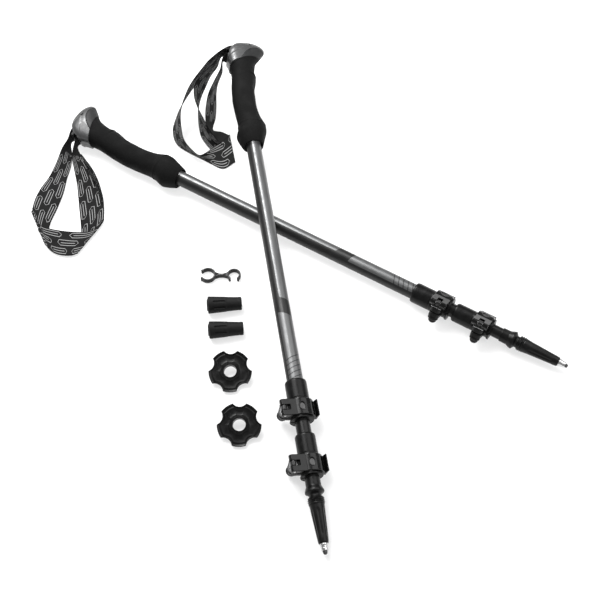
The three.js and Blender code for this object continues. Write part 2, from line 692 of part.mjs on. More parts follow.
// two C rings joined by a waisted web; it holds both poles side by side
function joiningClip() {
  const web = new THREE.Shape();
  web.moveTo(-9, 5.2);
  web.quadraticCurveTo(0, -2.4, 9.2, 4.4);
  web.lineTo(7.9, 0);
  web.lineTo(9, -4);
  web.quadraticCurveTo(0, 1, -9, -5.2);
  web.lineTo(-7, 0);
  const left = { x: -15.4, r: 9.3 };
  const right = { x: 15.2, r: 8.1 };
  const rings = [clipRing(left.x, left.r, -142, 142), clipRing(right.x, right.r, -50, 230)];
  return join(plate(web, 0, CLIP_HEIGHT), ...rings);
}

// ---------------------------------------------------------------- the set

const set = new THREE.Group();

const straps = { left: leftStrap, right: rightStrap };
for (const pole of POLES) {
  const { frame, head } = buildPole(pole);
  set.add(frame);
  addMesh(set, `${pole.side}_wrist_strap`, straps[pole.side](head), WEBBING);
}

addMesh(set, 'joining_clip', joiningClip(), BLACK_PLASTIC).position.set(-93, 33, 0);
addTipCover(set, 'rubber_tip_1', -107, -14, 6);
addTipCover(set, 'rubber_tip_2', -104, -48, 6);
addBasket(set, 'basket_1', -77, -99);
addBasket(set, 'basket_2', -65, -165);

// the set's origin is the middle of its footprint, on the ground
set.updateMatrixWorld(true);
const bounds = new THREE.Box3().setFromObject(set, true);
const centre = bounds.getCenter(new THREE.Vector3());
set.position.set(-centre.x, -centre.y, -bounds.min.z);

const poles = new THREE.Group();
poles.add(set);

export default poles;
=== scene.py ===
"""A pair of three-section trekking poles with wrist straps, spare baskets, rubber tips and a joining clip.

Every piece is built in millimetres in its own local frame and then placed in metres. In a pole's frame x runs
from the head to the tip, y is the side of the head's beak and z is the side that faces up.
"""

import json
import math

import bmesh
import bpy
import numpy as np
from mathutils import Matrix, Vector


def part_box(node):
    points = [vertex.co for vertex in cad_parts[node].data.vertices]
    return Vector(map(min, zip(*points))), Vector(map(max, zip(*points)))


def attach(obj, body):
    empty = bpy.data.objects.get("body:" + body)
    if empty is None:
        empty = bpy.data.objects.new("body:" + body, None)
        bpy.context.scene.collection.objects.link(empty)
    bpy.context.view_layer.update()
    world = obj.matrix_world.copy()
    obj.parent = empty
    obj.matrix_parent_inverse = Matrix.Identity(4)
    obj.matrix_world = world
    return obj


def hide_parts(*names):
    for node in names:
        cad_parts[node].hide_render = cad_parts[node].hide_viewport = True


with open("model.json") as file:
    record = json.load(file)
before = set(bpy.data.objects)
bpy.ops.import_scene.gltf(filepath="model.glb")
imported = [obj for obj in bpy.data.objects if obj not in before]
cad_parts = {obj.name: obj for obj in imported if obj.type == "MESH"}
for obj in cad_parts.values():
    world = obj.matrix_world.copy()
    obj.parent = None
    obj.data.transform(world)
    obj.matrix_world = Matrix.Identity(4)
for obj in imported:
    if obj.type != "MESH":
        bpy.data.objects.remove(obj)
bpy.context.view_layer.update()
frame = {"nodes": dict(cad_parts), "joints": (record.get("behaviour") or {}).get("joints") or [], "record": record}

MM = 0.001
SIDES = ("left", "right")

# ---------------- the frame: bodies, slots and local frames

record = frame["record"]
BODY_OF = {node: body for body, nodes in record["behaviour"]["bodies"].items() for node in nodes}
SLOT_OF = {part["node"]: part["material_slot"] for part in record["subparts"]}
UP = Vector((0, 0, 1))

GRIP_ORIGIN_TO_SHAFT_MIDDLE = (24.5 + 529) / 2  # the upper shaft's ends, from the top of the head
HINGE_IN_LOCK = Vector((35, -19, 11.6))
BASKET_TIP = math.radians(16)  # each basket leans forward off its hub
CLIP_BASE_X = -7.2  # the clip's rest point, from the middle between its rings


def named(rows, name):
    return next(row for row in rows if row["name"] == name)


def joint(name):
    return named(frame["joints"], name)


def mount_of(name):
    return named(record["mounts"], name)


def joint_axis(name):
    return Vector(joint(name)["axis"]).normalized()


def local_frame(x, z, origin=(0, 0, 0)):
    """Frame with that x, with z as near to the given one as can be, and its origin in metres."""
    x = x.normalized()
    z = (z - x * z.dot(x)).normalized()
    matrix = Matrix((x, z.cross(x), z)).transposed().to_4x4()
    matrix.translation = origin
    return matrix


def middle(node):
    low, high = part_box(node)
    return (low + high) / 2


def points_in(place, node):
    """A CAD node's vertices in a local frame, in mm."""
    inverse = place.inverted()
    return np.array([inverse @ v.co for v in frame["nodes"][node].data.vertices]) / MM


def extent(node, place):
    """Lowest and highest corner of a CAD node in a local frame, in mm."""
    points = points_in(place, node)
    return points.min(axis=0), points.max(axis=0)


def pole_frame(side):
    x = joint_axis(f"{side}_middle_slide")
    return local_frame(x, UP, middle(f"{side}_upper_shaft") - x * GRIP_ORIGIN_TO_SHAFT_MIDDLE * MM)


def head_frame(side):
    pole = pole_frame(side)
    x = joint_axis(f"{side}_middle_slide")
    beak = -joint_axis(f"{side}_wedge_slide")
    return local_frame(x, x.cross(beak), pole.translation)


def lock_frame(side, lock):
    x = joint_axis(f"{side}_{lock}_lever_hinge")
    place = local_frame(x, joint_axis(f"{side}_{lock}_nut_turn"))
    hinge = Vector(joint(f"{side}_{lock}_lever_hinge")["pos_m"])
    place.translation = hinge - place.to_3x3() @ HINGE_IN_LOCK * MM
    return place


# ---------------- shader nodes


class Shader:
    """A material and short calls that add and link its nodes."""

    def __init__(self, name):
        self.material = bpy.data.materials.new(name)
        self.material.use_nodes = True
        self.tree = self.material.node_tree
        self.surface = self.tree.nodes["Principled BSDF"]

    def node(self, kind, settings=None, **inputs):
        made = self.tree.nodes.new(kind)
        for key, value in (settings or {}).items():
            setattr(made, key, value)
        for key, value in inputs.items():
            self.plug(made, key.replace("_", " "), value)
        return made

    def plug(self, node, key, value):
        socket = node.inputs[int(key)] if key.isdigit() else node.inputs[key]
        if isinstance(value, bpy.types.NodeSocket):
            self.tree.links.new(value, socket)
        else:
            socket.default_value = value

    def set(self, **inputs):
        """Sets the surface's own sockets."""
        for key, value in inputs.items():
            self.plug(self.surface, key.replace("_", " "), value)

    def math(self, operation, a, b=0.0, c=0.0):
        made = self.node("ShaderNodeMath", {"operation": operation})
        for k, value in enumerate((a, b, c)):
            self.plug(made, str(k), value)
        return made.outputs[0]

    def times(self, a, b):
        return self.math("MULTIPLY", a, b)

    def plus(self, a, b):
        return self.math("ADD", a, b)

    def minus(self, a, b):
        return self.math("SUBTRACT", a, b)

    def abs(self, a):
        return self.math("ABSOLUTE", a)

    def mix(self, factor, a, b):
        made = self.node("ShaderNodeMix", {"data_type": "RGBA"})
        self.plug(made, "0", factor)
        for key, value in (("6", a), ("7", b)):
            self.plug(made, key, value)
        return made.outputs[2]

    def range(self, value, low, high, to_low=0.0, to_high=1.0, smooth=True):
        made = self.node("ShaderNodeMapRange", {"interpolation_type": "SMOOTHSTEP" if smooth else "LINEAR"})
        for key, number in zip(range(5), (value, low, high, to_low, to_high)):
            self.plug(made, str(key), number)
        return made.outputs[0]

    def place(self, stretch=(1, 1, 1)):
        """The piece's own coordinates in mm, stretched along its axes."""
        coordinates = self.node("ShaderNodeTexCoord").outputs["Object"]
        scale = [s / MM for s in stretch]
        return self.node("ShaderNodeMapping", Vector=coordinates, Scale=scale).outputs[0]

    def split(self, vector):
        made = self.node("ShaderNodeSeparateXYZ", Vector=vector)
        return made.outputs[0], made.outputs[1], made.outputs[2]

    def noise(self, vector, scale, detail=3.0, roughness=0.55):
        made = self.node("ShaderNodeTexNoise", Vector=vector, Scale=scale, Detail=detail, Roughness=roughness)
        return made.outputs["Fac"]

    def cells(self, vector, scale):
        made = self.node("ShaderNodeTexVoronoi", Vector=vector, Scale=scale)
        return made.outputs["Distance"]

    def bump(self, height, distance_mm, strength=1.0, under=None):
        made = self.node("ShaderNodeBump", Height=height, Distance=distance_mm * MM, Strength=strength)
        if under is not None:
            self.plug(made, "Normal", under)
        return made.outputs[0]


def grey(value, tint=0.0):
    """A neutral colour, a little cooler where tint is above 0."""
    return (value * (1 - tint), value, value * (1 + tint), 1)


# ---------------- finishes


def foam_finish():
    s = Shader("closed_cell_foam")
    at = s.place()
    blotch = s.noise(at, 0.07, 4)
    cell = s.cells(at, 2.6)
    specks = s.range(s.noise(at, 1.1, 5, 0.75), 0.4, 0.7)
    skin = s.mix(s.range(blotch, 0.3, 0.7), grey(0.0025), grey(0.0045))
    s.set(Base_Color=s.mix(s.times(specks, 0.7), skin, grey(0.0105)))
    s.set(Roughness=s.range(blotch, 0.3, 0.7, 0.66, 0.84), Specular_IOR_Level=0.11)
    soft = s.bump(s.noise(at, 0.35, 3), 0.25, 0.5)
    s.set(Normal=s.bump(cell, 0.1, 0.6, soft))
    return s.material


def head_shell_finish():
    s = Shader("pearl_grey_shell")
    at = s.place()
    flake = s.cells(at, 5.5)
    cloud = s.noise(at, 0.09, 2)
    flaked = s.mix(s.range(flake, 0.15, 0.5), grey(0.105, 0.01), grey(0.07, 0.01))
    s.set(Base_Color=s.mix(s.range(cloud, 0.35, 0.7, 0.0, 0.35), flaked, grey(0.055)))
    s.set(Metallic=0.4, Coat_Weight=0.2, Coat_Roughness=0.25)
    s.set(Roughness=s.range(s.noise(at, 0.6, 5), 0.3, 0.7, 0.32, 0.44))
    s.set(Normal=s.bump(s.noise(at, 3.5, 2), 0.03, 0.35))
    return s.material


def moulded(name, pattern, shades, spread, roughness, grain, **settings):
    """Plastic or rubber with a wide pattern in its colour and roughness and a fine grain on its surface.
    pattern and grain start with a noise's scale and detail; grain ends with the bump's depth and strength."""
    s = Shader(name)
    at = s.place()
    wide = s.noise(at, *pattern)
    darker, lighter = shades
    s.set(Base_Color=s.mix(s.range(wide, *spread), darker, lighter), Roughness=s.range(wide, *roughness))
    scale, detail, depth, strength = grain
    s.set(Normal=s.bump(s.noise(at, scale, detail), depth, strength), **settings)
    return s.material


def metal(name, stretch, detail, shades, roughness, depth, strength, metallic):
    """Metal whose grain, stretched along the axes, shows in its colour, roughness and bump."""
    s = Shader(name)
    grain = s.noise(s.place(stretch), 1, detail)
    spread = s.range(grain, 0.3, 0.7)
    s.set(Base_Color=s.mix(spread, grey(shades[0]), grey(shades[1])), Metallic=metallic)
    s.set(Roughness=s.range(grain, 0.3, 0.7, *roughness), Normal=s.bump(grain, depth, strength))
    return s.material


def carbide_finish():
    s = Shader("sintered_carbide")
    at = s.place()
    grain = s.cells(at, 3.5)
    s.set(Metallic=0.9, Base_Color=s.mix(s.range(grain, 0.1, 0.5), grey(0.16), grey(0.09)))
    s.set(Roughness=s.range(s.noise(at, 1.5), 0.3, 0.7, 0.32, 0.5))
    s.set(Normal=s.bump(grain, 0.04, 0.5))
    return s.material


def drawn_tube(s, dark, light, low, high):
    """Roughness and bump of an anodised tube, with fine lines along its length."""
    lines = s.noise(s.place((0.05, 3.5, 3.5)), 1, 4)
    specks = s.noise(s.place(), 2.2, 4, 0.7)
    s.set(Roughness=s.range(s.noise(s.place(), 0.1, 3), 0.3, 0.7, low, high))
    s.set(Normal=s.bump(specks, 0.012, 0.4, s.bump(lines, 0.008, 0.5)))
    return s.mix(s.range(lines, 0.3, 0.7), dark, light)


def black_tube_finish():
    s = Shader("black_anodised_tube")
    s.set(Base_Color=drawn_tube(s, grey(0.007), grey(0.013), 0.22, 0.32), Metallic=0.6)
    return s.material


# the upper shaft's print: a grey field with a dark back, a slanted dark band and a panel with thin rings
PRINT_RADIUS = 9
FIELD_EDGE = -13  # degrees round the shaft from its top towards the beak's side
FIELD_FAR_EDGE = 150
PANEL_EDGE = -45
BAND_START = 391.5
BAND_END = 411.5
BAND_SLANT = 0.058  # mm along the shaft for each degree round it
RINGS_START = 464.5
RING_PITCH = 6.1
RING_COUNT = 5
RING_SLANT = -0.06
RING_WIDTH = 0.95


def gunmetal_finish():
    s = Shader("printed_gunmetal_tube")
    x, y, z = s.split(s.place())
    angle = s.times(s.math("ARCTAN2", y, z), 180 / math.pi)
    arc = math.radians(PRINT_RADIUS)

    def past(edge):
        return s.times(s.minus(angle, edge), arc)

    slant = s.times(angle, BAND_SLANT)
    before_band = s.minus(s.plus(slant, BAND_START), x)
    after_band = s.minus(s.minus(x, slant), BAND_END)
    far_side = s.times(past(FIELD_FAR_EDGE), -1.0)
    field = s.math("SMOOTH_MIN", past(FIELD_EDGE), before_band, 2.5)
    panel = s.math("SMOOTH_MIN", past(PANEL_EDGE), after_band, 2.5)
    light = s.math("MINIMUM", s.math("MAXIMUM", field, panel), far_side)
    slanted = s.minus(x, s.times(angle, RING_SLANT))
    along_rings = s.minus(slanted, RINGS_START)
    from_last = s.math("FLOORED_MODULO", along_rings, RING_PITCH)
    ring = s.abs(s.minus(from_last, RING_PITCH / 2))
    in_rings = s.range(along_rings, 0, 0.1)
    before_end = s.range(along_rings, RING_PITCH * RING_COUNT, RING_PITCH * RING_COUNT + 0.1, 1, 0)
    line = s.range(ring, RING_WIDTH / 2, RING_WIDTH / 2 + 0.12, 1, 0)
    line = s.times(line, s.times(in_rings, before_end))
    shown = s.times(s.range(light, 0, 0.15), s.minus(1.0, line))
    metal = drawn_tube(s, grey(0.12, 0.01), grey(0.16, 0.01), 0.36, 0.46)
    s.set(Base_Color=s.mix(shown, grey(0.009), metal))
    s.set(Metallic=s.range(shown, 0, 1, 0.25, 0.8, smooth=False))
    return s.material


# ---------------- webbing

STRAP_WIDTH = 25
PRINT_ROWS = 3
PRINT_PITCH = 33  # mm along the strap from one bar of the print to the next
ROW_STAGGER = 14.3
BAR_REACH = 12.5  # half a bar's length, from point to point
BAR_HEIGHT = 2.5  # half its height
THREAD = 0.55


def webbing_finish(name="printed_webbing", plain_until=0.0, plain_from=1e4):
    """Twill weave with long outlined bars in three staggered rows, and none near a plain end. Each bar has
    pointed ends and a line down its middle. The strap's uv gives mm along it and the share of its width."""
    s = Shader(name)
    uv = s.node("ShaderNodeUVMap", {"uv_map": "strap"}).outputs[0]
    along, across, _ = s.split(uv)
    rows = s.times(across, float(PRINT_ROWS))
    stagger = s.times(s.math("FLOOR", rows), ROW_STAGGER)
    from_start = s.math("FLOORED_MODULO", s.plus(along, stagger), float(PRINT_PITCH))
    x = s.abs(s.minus(from_start, PRINT_PITCH / 2))
    in_row = s.minus(s.math("FRACT", rows), 0.5)
    y = s.abs(s.times(in_row, STRAP_WIDTH / PRINT_ROWS))
    point = s.minus(s.plus(x, y), BAR_REACH)
    edge = s.math("MAXIMUM", s.minus(y, BAR_HEIGHT), point)
    outline = s.range(s.abs(edge), 0.2, 0.34, 1, 0)
    line = s.times(s.range(y, 0.2, 0.34, 1, 0), s.range(x, BAR_REACH - 4, BAR_REACH - 3.7, 1, 0))
    ink = s.math("MAXIMUM", outline, line)
    ink = s.times(ink, s.range(along, plain_until, plain_until + 2))
    ink = s.times(ink, s.range(along, plain_from - 2, plain_from, 1, 0))
    # twill: threads along the strap, crossed by a diagonal step
    warp = s.math("SINE", s.times(across, STRAP_WIDTH * math.tau / (2 * THREAD)))
    step = s.times(along, math.tau / (2.6 * THREAD))
    weft = s.math("SINE", s.plus(step, s.times(across, 60.0)))
    weave = s.times(s.plus(s.times(warp, weft), 1.0), 0.5)
    selvedge = s.range(s.abs(s.minus(across, 0.5)), 0.455, 0.47)
    fuzz = s.noise(s.place(), 0.9, 5, 0.7)
    yarn = s.mix(s.range(fuzz, 0.3, 0.7), grey(0.0055), grey(0.011))
    yarn = s.mix(s.times(weave, 0.5), yarn, grey(0.018))
    yarn = s.mix(selvedge, yarn, grey(0.005))
    inked = s.mix(s.range(weave, 0.0, 1.0, 0.1, 0.55), grey(0.42), grey(0.26))
    cover = s.times(ink, s.minus(1.0, selvedge))
    cover = s.times(cover, s.range(fuzz, 0.25, 0.55, 0.7, 1.0))
    s.set(Base_Color=s.mix(cover, yarn, inked), Roughness=0.82, Specular_IOR_Level=0.12)
    s.set(Normal=s.bump(weave, 0.16, 0.6, s.bump(s.noise(s.place(), 0.18, 2), 0.5, 0.3)))
    return s.material


FINISHES = {
    "foam": foam_finish(),
    "head_shell": head_shell_finish(),
    "head_panel": moulded("soft_touch_panel", (0.12, 3), (grey(0.016, 0.02), grey(0.025, 0.02)), (0.35, 0.7),
                          (0.3, 0.7, 0.5, 0.62), (5, 2, 0.05, 0.45), Specular_IOR_Level=0.3),
    "webbing": webbing_finish(),
    "black_plastic": moulded("moulded_black_plastic", (0.14, 5, 0.65), (grey(0.003), grey(0.007)),
                             (0.4, 0.75), (0.3, 0.7, 0.27, 0.4), (4.5, 2, 0.04, 0.4), Specular_IOR_Level=0.2),
    "gloss_black": moulded("polished_black_plastic", (0.2, 5, 0.6), (grey(0.0025), grey(0.006)), (0.4, 0.8),
                           (0.35, 0.7, 0.16, 0.3), (0.8, 2, 0.04, 0.2), Specular_IOR_Level=0.25,
                           Coat_Weight=0.1, Coat_Roughness=0.08),
    "steel": metal("turned_steel", (9, 0.4, 0.4), 3, (0.52, 0.72), (0.16, 0.3), 0.012, 0.5, 1.0),
    "gunmetal": gunmetal_finish(),
    "black_tube": black_tube_finish(),
    "carbide": carbide_finish(),
    "rubber": moulded("moulded_rubber", (0.3, 6, 0.7), (grey(0.0065), grey(0.016)), (0.45, 0.75),
                      (0.3, 0.7, 0.55, 0.74), (3.5, 3, 0.05, 0.5), Specular_IOR_Level=0.18),
}

BLACKENED_STEEL = metal("blackened_steel", (0.9, 0.9, 0.9), 4, (0.03, 0.06), (0.28, 0.42), 0.015, 0.4, 0.85)
SATIN_METAL = metal("satin_metal", (0.5, 6, 6), 3, (0.06, 0.1), (0.42, 0.55), 0.01, 0.4, 0.8)

# ---------------- mesh tools, in mm in a local frame


def solid(points, faces, strap_uv=None):
    """A closed mesh object with its faces turned out. strap_uv gives a uv for each point."""
    mesh = bpy.data.meshes.new("solid")
    mesh.from_pydata([Vector(p) for p in points], [], faces)
    if strap_uv:
        layer = mesh.uv_layers.new(name="strap")
        for loop in mesh.loops:
            layer.data[loop.index].uv = strap_uv[loop.vertex_index]
    work = bmesh.new()
    work.from_mesh(mesh)
    if not strap_uv:
        bmesh.ops.remove_doubles(work, verts=work.verts, dist=1e-4)
    bmesh.ops.recalc_face_normals(work, faces=work.faces)
    work.to_mesh(mesh)
    work.free()
    made = bpy.data.objects.new("solid", mesh)
    bpy.context.scene.collection.objects.link(made)
    return made


def freeze(made):
    """Applies the modifiers."""
    graph = bpy.context.evaluated_depsgraph_get()
    mesh = bpy.data.meshes.new_from_object(made.evaluated_get(graph))
    made.modifiers.clear()
    made.data = mesh
    return made


def combine(made, operation, tools):
    for tool in tools:
        modifier = made.modifiers.new("combine", "BOOLEAN")
        modifier.operation = operation
        modifier.solver = "MANIFOLD"
        modifier.object = tool
        freeze(made)
        bpy.data.objects.remove(tool)
    return made


def cut(made, *tools):
    return combine(made, "DIFFERENCE", tools)


def join(made, *tools):
    return combine(made, "UNION", tools)


def common(made, *tools):
    return combine(made, "INTERSECT", tools)


def moved(made, offset=(0, 0, 0), turn=0.0, axis="X"):
    made.data.transform(Matrix.Translation(offset) @ Matrix.Rotation(turn, 4, axis))
    return made


def rounded(points, radius, steps=3, closed=False):
    """An outline with its corners rounded. radius is one number, or one for each point."""
    points = [Vector(p) for p in points]
    count = len(points)
    radii = radius if hasattr(radius, "__len__") else [radius] * count
    out = []
    for i, corner in enumerate(points):
        if (not closed and i in (0, count - 1)) or radii[i] == 0:
            out.append(corner)
            continue
        before, after = points[i - 1] - corner, points[(i + 1) % count] - corner
        reach = min(radii[i], 0.45 * before.length, 0.45 * after.length)
        start, end = corner + before.normalized() * reach, corner + after.normalized() * reach
        for k in range(steps + 1):
            t = k / steps
            out.append(start * (1 - t) ** 2 + corner * 2 * t * (1 - t) + end * t**2)
    return out


def dense(points, step):
    """The same line with no stretch longer than step."""
    out = [points[0]]
    for a, b in zip(points, points[1:]):
        parts = max(1, math.ceil((b - a).length / step))
        out += [a.lerp(b, k / parts) for k in range(1, parts + 1)]
    return out


def ring_faces(rings, sides, wrap):
    """Quads between rings of points, with the ends closed unless the last ring meets the first."""
    faces = []
    for i in range(rings if wrap else rings - 1):
        a, b = i * sides, (i + 1) % rings * sides
        for k in range(sides):
            n = (k + 1) % sides
            faces.append((a + k, a + n, b + n, b + k))
    if not wrap:
        faces.append(tuple(range(sides)))
        faces.append(tuple((rings - 1) * sides + k for k in range(sides)))
    return faces


def turned(profile, sides=64, round_by=0.4, closed=False, relief=None, step=None):
    """A profile of (x, radius) points turned about x. relief(x, r, angle) adds to the radius."""
    line = rounded([(x, r, 0) for x, r in profile], round_by, closed=closed)
    if step:
        line = dense(line + line[:1] if closed else line, step)
        line = line[:-1] if closed else line
    angle = np.linspace(0, math.tau, sides, endpoint=False)
    x = np.array([p[0] for p in line])[:, None] + 0 * angle
    r = np.array([p[1] for p in line])[:, None] + 0 * angle
    turn = 0 * x + angle
    if relief:
        r = np.maximum(r + np.where(r > 0.05, relief(x, r, turn), 0), 0)
    points = np.stack([x, r * np.sin(turn), r * np.cos(turn)], axis=-1).reshape(-1, 3)
    return solid(points.tolist(), ring_faces(len(line), sides, closed))


def tube(outer, inner, start, end, sides=72, edge=0.25):
    return turned([(start, inner), (start, outer), (end, outer), (end, inner)], sides, edge, closed=True)


def rod(radius, start, end, at=(0, 0), sides=48, edge=0.0):
    """Rod along x through (y, z)."""
    made = turned([(start, 0), (start, radius), (end, radius), (end, 0)], sides, edge)
    return moved(made, (0, at[0], at[1]))


def pin_z(radius, x, y, start, end, sides=40, edge=0.0):
    """Rod along z through (x, y)."""
    return upright(rod(radius, start, end, sides=sides, edge=edge), (x, y, 0))


def upright(made, offset):
    """Turns a piece made along x so that it stands along z, and moves it."""
    return moved(made, offset, -math.pi / 2, "Y")


def inset(outline, distance):
    """The outline moved in by a distance, corner by corner."""
    count = len(outline)
    area = sum(outline[i - 1].x * outline[i].y - outline[i].x * outline[i - 1].y for i in range(count))
    inward = math.copysign(1, area)
    out = []
    for i, p in enumerate(outline):
        before = (p - outline[i - 1]).to_2d().normalized()
        after = (outline[(i + 1) % count] - p).to_2d().normalized()
        normal = Vector((-(before + after).y, (before + after).x)).normalized() * inward
        stretch = max(0.5, normal.dot(Vector((-before.y, before.x)) * inward))
        out.append(p + normal.to_3d() * distance / stretch)
    return out


def plate(points, low, high, rim=0.4, round_by=0.0, steps=3):
    """An outline in x and y, extruded along z, with rounded rims."""
    outline = [Vector((p[0], p[1], 0)) for p in points]
    if round_by:
        outline = rounded(outline, round_by, closed=True)
    levels = [(low, 0)]
    if rim:
        angles = np.linspace(0, math.pi / 2, steps + 1)
        levels = [(low + rim * (1 - math.cos(a)), rim * (1 - math.sin(a))) for a in angles]
    levels += [(low + high - z, d) for z, d in reversed(levels)]
    rings = [[p + Vector((0, 0, z)) for p in (inset(outline, d) if d else outline)] for z, d in levels]
    return solid([p for ring in rings for p in ring], ring_faces(len(rings), len(outline), False))


def slab(points, low, high, rim=0.4, round_by=0.0):
    """An outline in y and z, extruded along x, with rounded rims."""
    made = plate(points, low, high, rim, round_by)
    made.data.transform(Matrix(((0, 0, 1, 0), (1, 0, 0, 0), (0, 1, 0, 0), (0, 0, 0, 1))))
    return made


def block(low, high, rim=0.0):
    return plate([low[:2], (high[0], low[1]), high[:2], (low[0], high[1])], low[2], high[2], rim, rim)


def arc(centre, radius, start, end, steps=24):
    """Points of an arc in a plane, from one angle to another in degrees."""
    angles = np.radians(np.linspace(start, end, steps))
    return [(centre[0] + radius * math.cos(a), centre[1] + radius * math.sin(a)) for a in angles]


def reskin(made, voxel, smooth=4, keep=0.5):
    """Rounds every edge a little: a fine even skin, smoothed and then thinned out."""
    remesh = made.modifiers.new("skin", "REMESH")
    remesh.mode = "VOXEL"
    remesh.voxel_size = voxel
    soften = made.modifiers.new("soften", "SMOOTH")
    soften.iterations = smooth
    thin = made.modifiers.new("thin", "DECIMATE")
    thin.ratio = keep
    return freeze(made)


def stand_for(made, node, place, sharp=40, name=None):
    """Places the mesh and makes it the look of that CAD node, with its body, slot and finish."""
    mesh = made.data
    mesh.transform(Matrix.Scale(MM, 4))
    mesh.materials.clear()
    mesh.materials.append(FINISHES[SLOT_OF[node]])
    mesh.shade_smooth()
    mesh.set_sharp_from_angle(angle=math.radians(sharp))
    made.name = mesh.name = name or f"{node}_look"
    made.matrix_world = place
    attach(made, BODY_OF[node])
    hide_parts(node)
    even = made.modifiers.new("even_normals", "WEIGHTED_NORMAL")
    even.keep_sharp = True
    return made


# ---------------- head and grip

GRIP_MIDDLE_Y = 4
HEAD_POWERS = (4, 1.8)  # the rear of the head is boxy, its beak is slim
FOAM_POWERS = (2.3, 2)
SEAM_AT_AXIS = 33
SEAM_SLOPE = 0.36
STRAP_PIN = (14.3, -2.4)
SHELL_WALL = 2.8
CLEAR = 0.3

# x, rear y, front y, half width
HEAD_FORM = [
    (0.5, 9, 23, 5), (2, 3, 28.5, 9.5), (5, -3.5, 33.5, 12.8), (9, -8.6, 36, 14.8),
    (13, -12, 35.4, 15.8), (18, -14.6, 32, 16.3), (24, -15.4, 27.2, 16), (31, -14.4, 22.5, 15.2),
    (42, -12.8, 19.2, 14.6),
]
FOAM_FORM = [
    (20, -15.3, 29.4, 15.9), (31, -14, 21.6, 15), (40, -12.8, 19, 14.6), (49, -12.6, 17.8, 14.5),
    (59, -13.5, 18, 14.7), (68, -14.8, 16.2, 14.9), (78, -15.8, 13.6, 15), (91, -16.6, 12.4, 15),
    (118, -15.6, 12.9, 15.4), (128, -14.9, 15, 16), (138, -15.4, 18.8, 17.2), (145, -17.4, 19.4, 18),
    (150.5, -18.8, 18, 18.1), (153, -18.4, 17, 17.6), (160, -16.4, 14.6, 15.8),
    (168, -13.3, 12.2, 12.9),
]


def smooth_rows(rows, step):
    """Rows of numbers with a smooth curve through them, the first number rising evenly."""
    rows = np.array(rows, float)
    x = rows[:, 0]
    slope = np.gradient(rows, x, axis=0)
    out = []
    for i in range(len(rows) - 1):
        gap = x[i + 1] - x[i]
        for t in np.linspace(0, 1, max(2, math.ceil(gap / step)), endpoint=False):
            share = 3 * t**2 - 2 * t**3
            bend = (t**3 - 2 * t**2 + t) * slope[i] + (t**3 - t**2) * slope[i + 1]
            out.append((1 - share) * rows[i] + share * rows[i + 1] + gap * bend)
    return out + [rows[-1]]


def grip_form(rows, powers, shrink=0.0, step=1.0, sides=96, relief=None):
    """Skin over rings that are boxy or slim at the rear and at the beak. relief(x, y, z) adds outwards."""
    points = []
    rings = smooth_rows(rows, step)
    for x, rear, front, side in rings:
        rear, front, side = rear + shrink, front - shrink, side - shrink
        centre = max(GRIP_MIDDLE_Y, (3 * rear + front) / 4)
        for k in range(sides):
            angle = math.tau * k / sides
            c, s = math.cos(angle), math.sin(angle)
            power = 2 / powers[1 if c >= 0 else 0]
            reach = front - centre if c >= 0 else centre - rear
            y = centre + reach * math.copysign(abs(c) ** power, c)
            z = side * math.copysign(abs(s) ** power, s)
            if relief:
                out = Vector((y - centre, z)).normalized() * relief(x, y, z)
                y, z = y + out.x, z + out.y
            points.append((x + shrink, y, z))
    return solid(points, ring_faces(len(rings), sides, False))


def shell_region(shift):
    """The light shell's side of the curved part line."""
    edge = [(16, 37), (12.5, 31), (12, 24), (15.5, 15), (22, 8), (30, 2), (40, -3), (44, -30)]
    line = [(x + shift, y) for x, y in edge]
    points = [(-20, 60), (16 + shift, 60), *line, (-20, -30)]
    return plate(rounded([(x, y, 0) for x, y in points], 6, 6, closed=True), -40, 40, rim=0)


def head_side(clearance):
    def seam(y):
        return SEAM_AT_AXIS - SEAM_SLOPE * y - clearance

    return plate([(-20, -60), (seam(-60), -60), (seam(60), 60), (-20, 60)], -40, 40, rim=0)


def strap_slot():
    return plate([(7, -40), (21.6, -40), (21.6, 1), (7, 1)], -12.9, 12.9, rim=0.5, round_by=1.2)


def strap_pin_hole():
    return pin_z(1.8, *STRAP_PIN, -14.9, 14.9)


FACET_TIP = (9.5, 15)  # the dimple on each side of the head sits at the tip of a raised facet
FACET_EDGES = ((4, -6), (27, -13))


def clamped(value):
    return max(0.0, min(1.0, value))


def facet_relief(x, y, z):
    """A raised triangle on both sides of the head."""
    depth = []
    for (end_x, end_y), turn in zip(FACET_EDGES, (1, -1)):
        along = Vector((end_x - FACET_TIP[0], end_y - FACET_TIP[1])).normalized()
        depth.append(turn * (along.x * (y - FACET_TIP[1]) - along.y * (x - FACET_TIP[0])))
    return 0.6 * clamped(min(depth) / 1.1) * clamped((abs(z) - 7) / 3)


def head_cap():
    skin = grip_form(HEAD_FORM, HEAD_POWERS, step=0.6, sides=160, relief=facet_relief)
    shell = common(skin, shell_region(0), head_side(0.15))
    inside = grip_form(HEAD_FORM[::2], HEAD_POWERS, SHELL_WALL)
    body = cut(shell, inside, strap_slot(), strap_pin_hole())
    for low, high in ((10, 20), (-20, -10)):
        cut(body, pin_z(1.4, *FACET_TIP, low, high))
    return reskin(body, 0.38, 3, 0.45)


def head_core():
    panel = cut(grip_form(HEAD_FORM, HEAD_POWERS, relief=lambda x, y, z: -0.25), shell_region(0.35))
    inside = grip_form(HEAD_FORM[::2], HEAD_POWERS, SHELL_WALL + 0.9)
    body = common(join(panel, inside), head_side(0.15))
    return reskin(cut(body, strap_slot(), strap_pin_hole(), rod(9.3, 24.2, 60)), 0.42, 5, 0.45)


def bump_at(value, centre, width):
    """1 at the centre, falling smoothly to 0."""
    return math.exp(-(((value - centre) / width) ** 2))


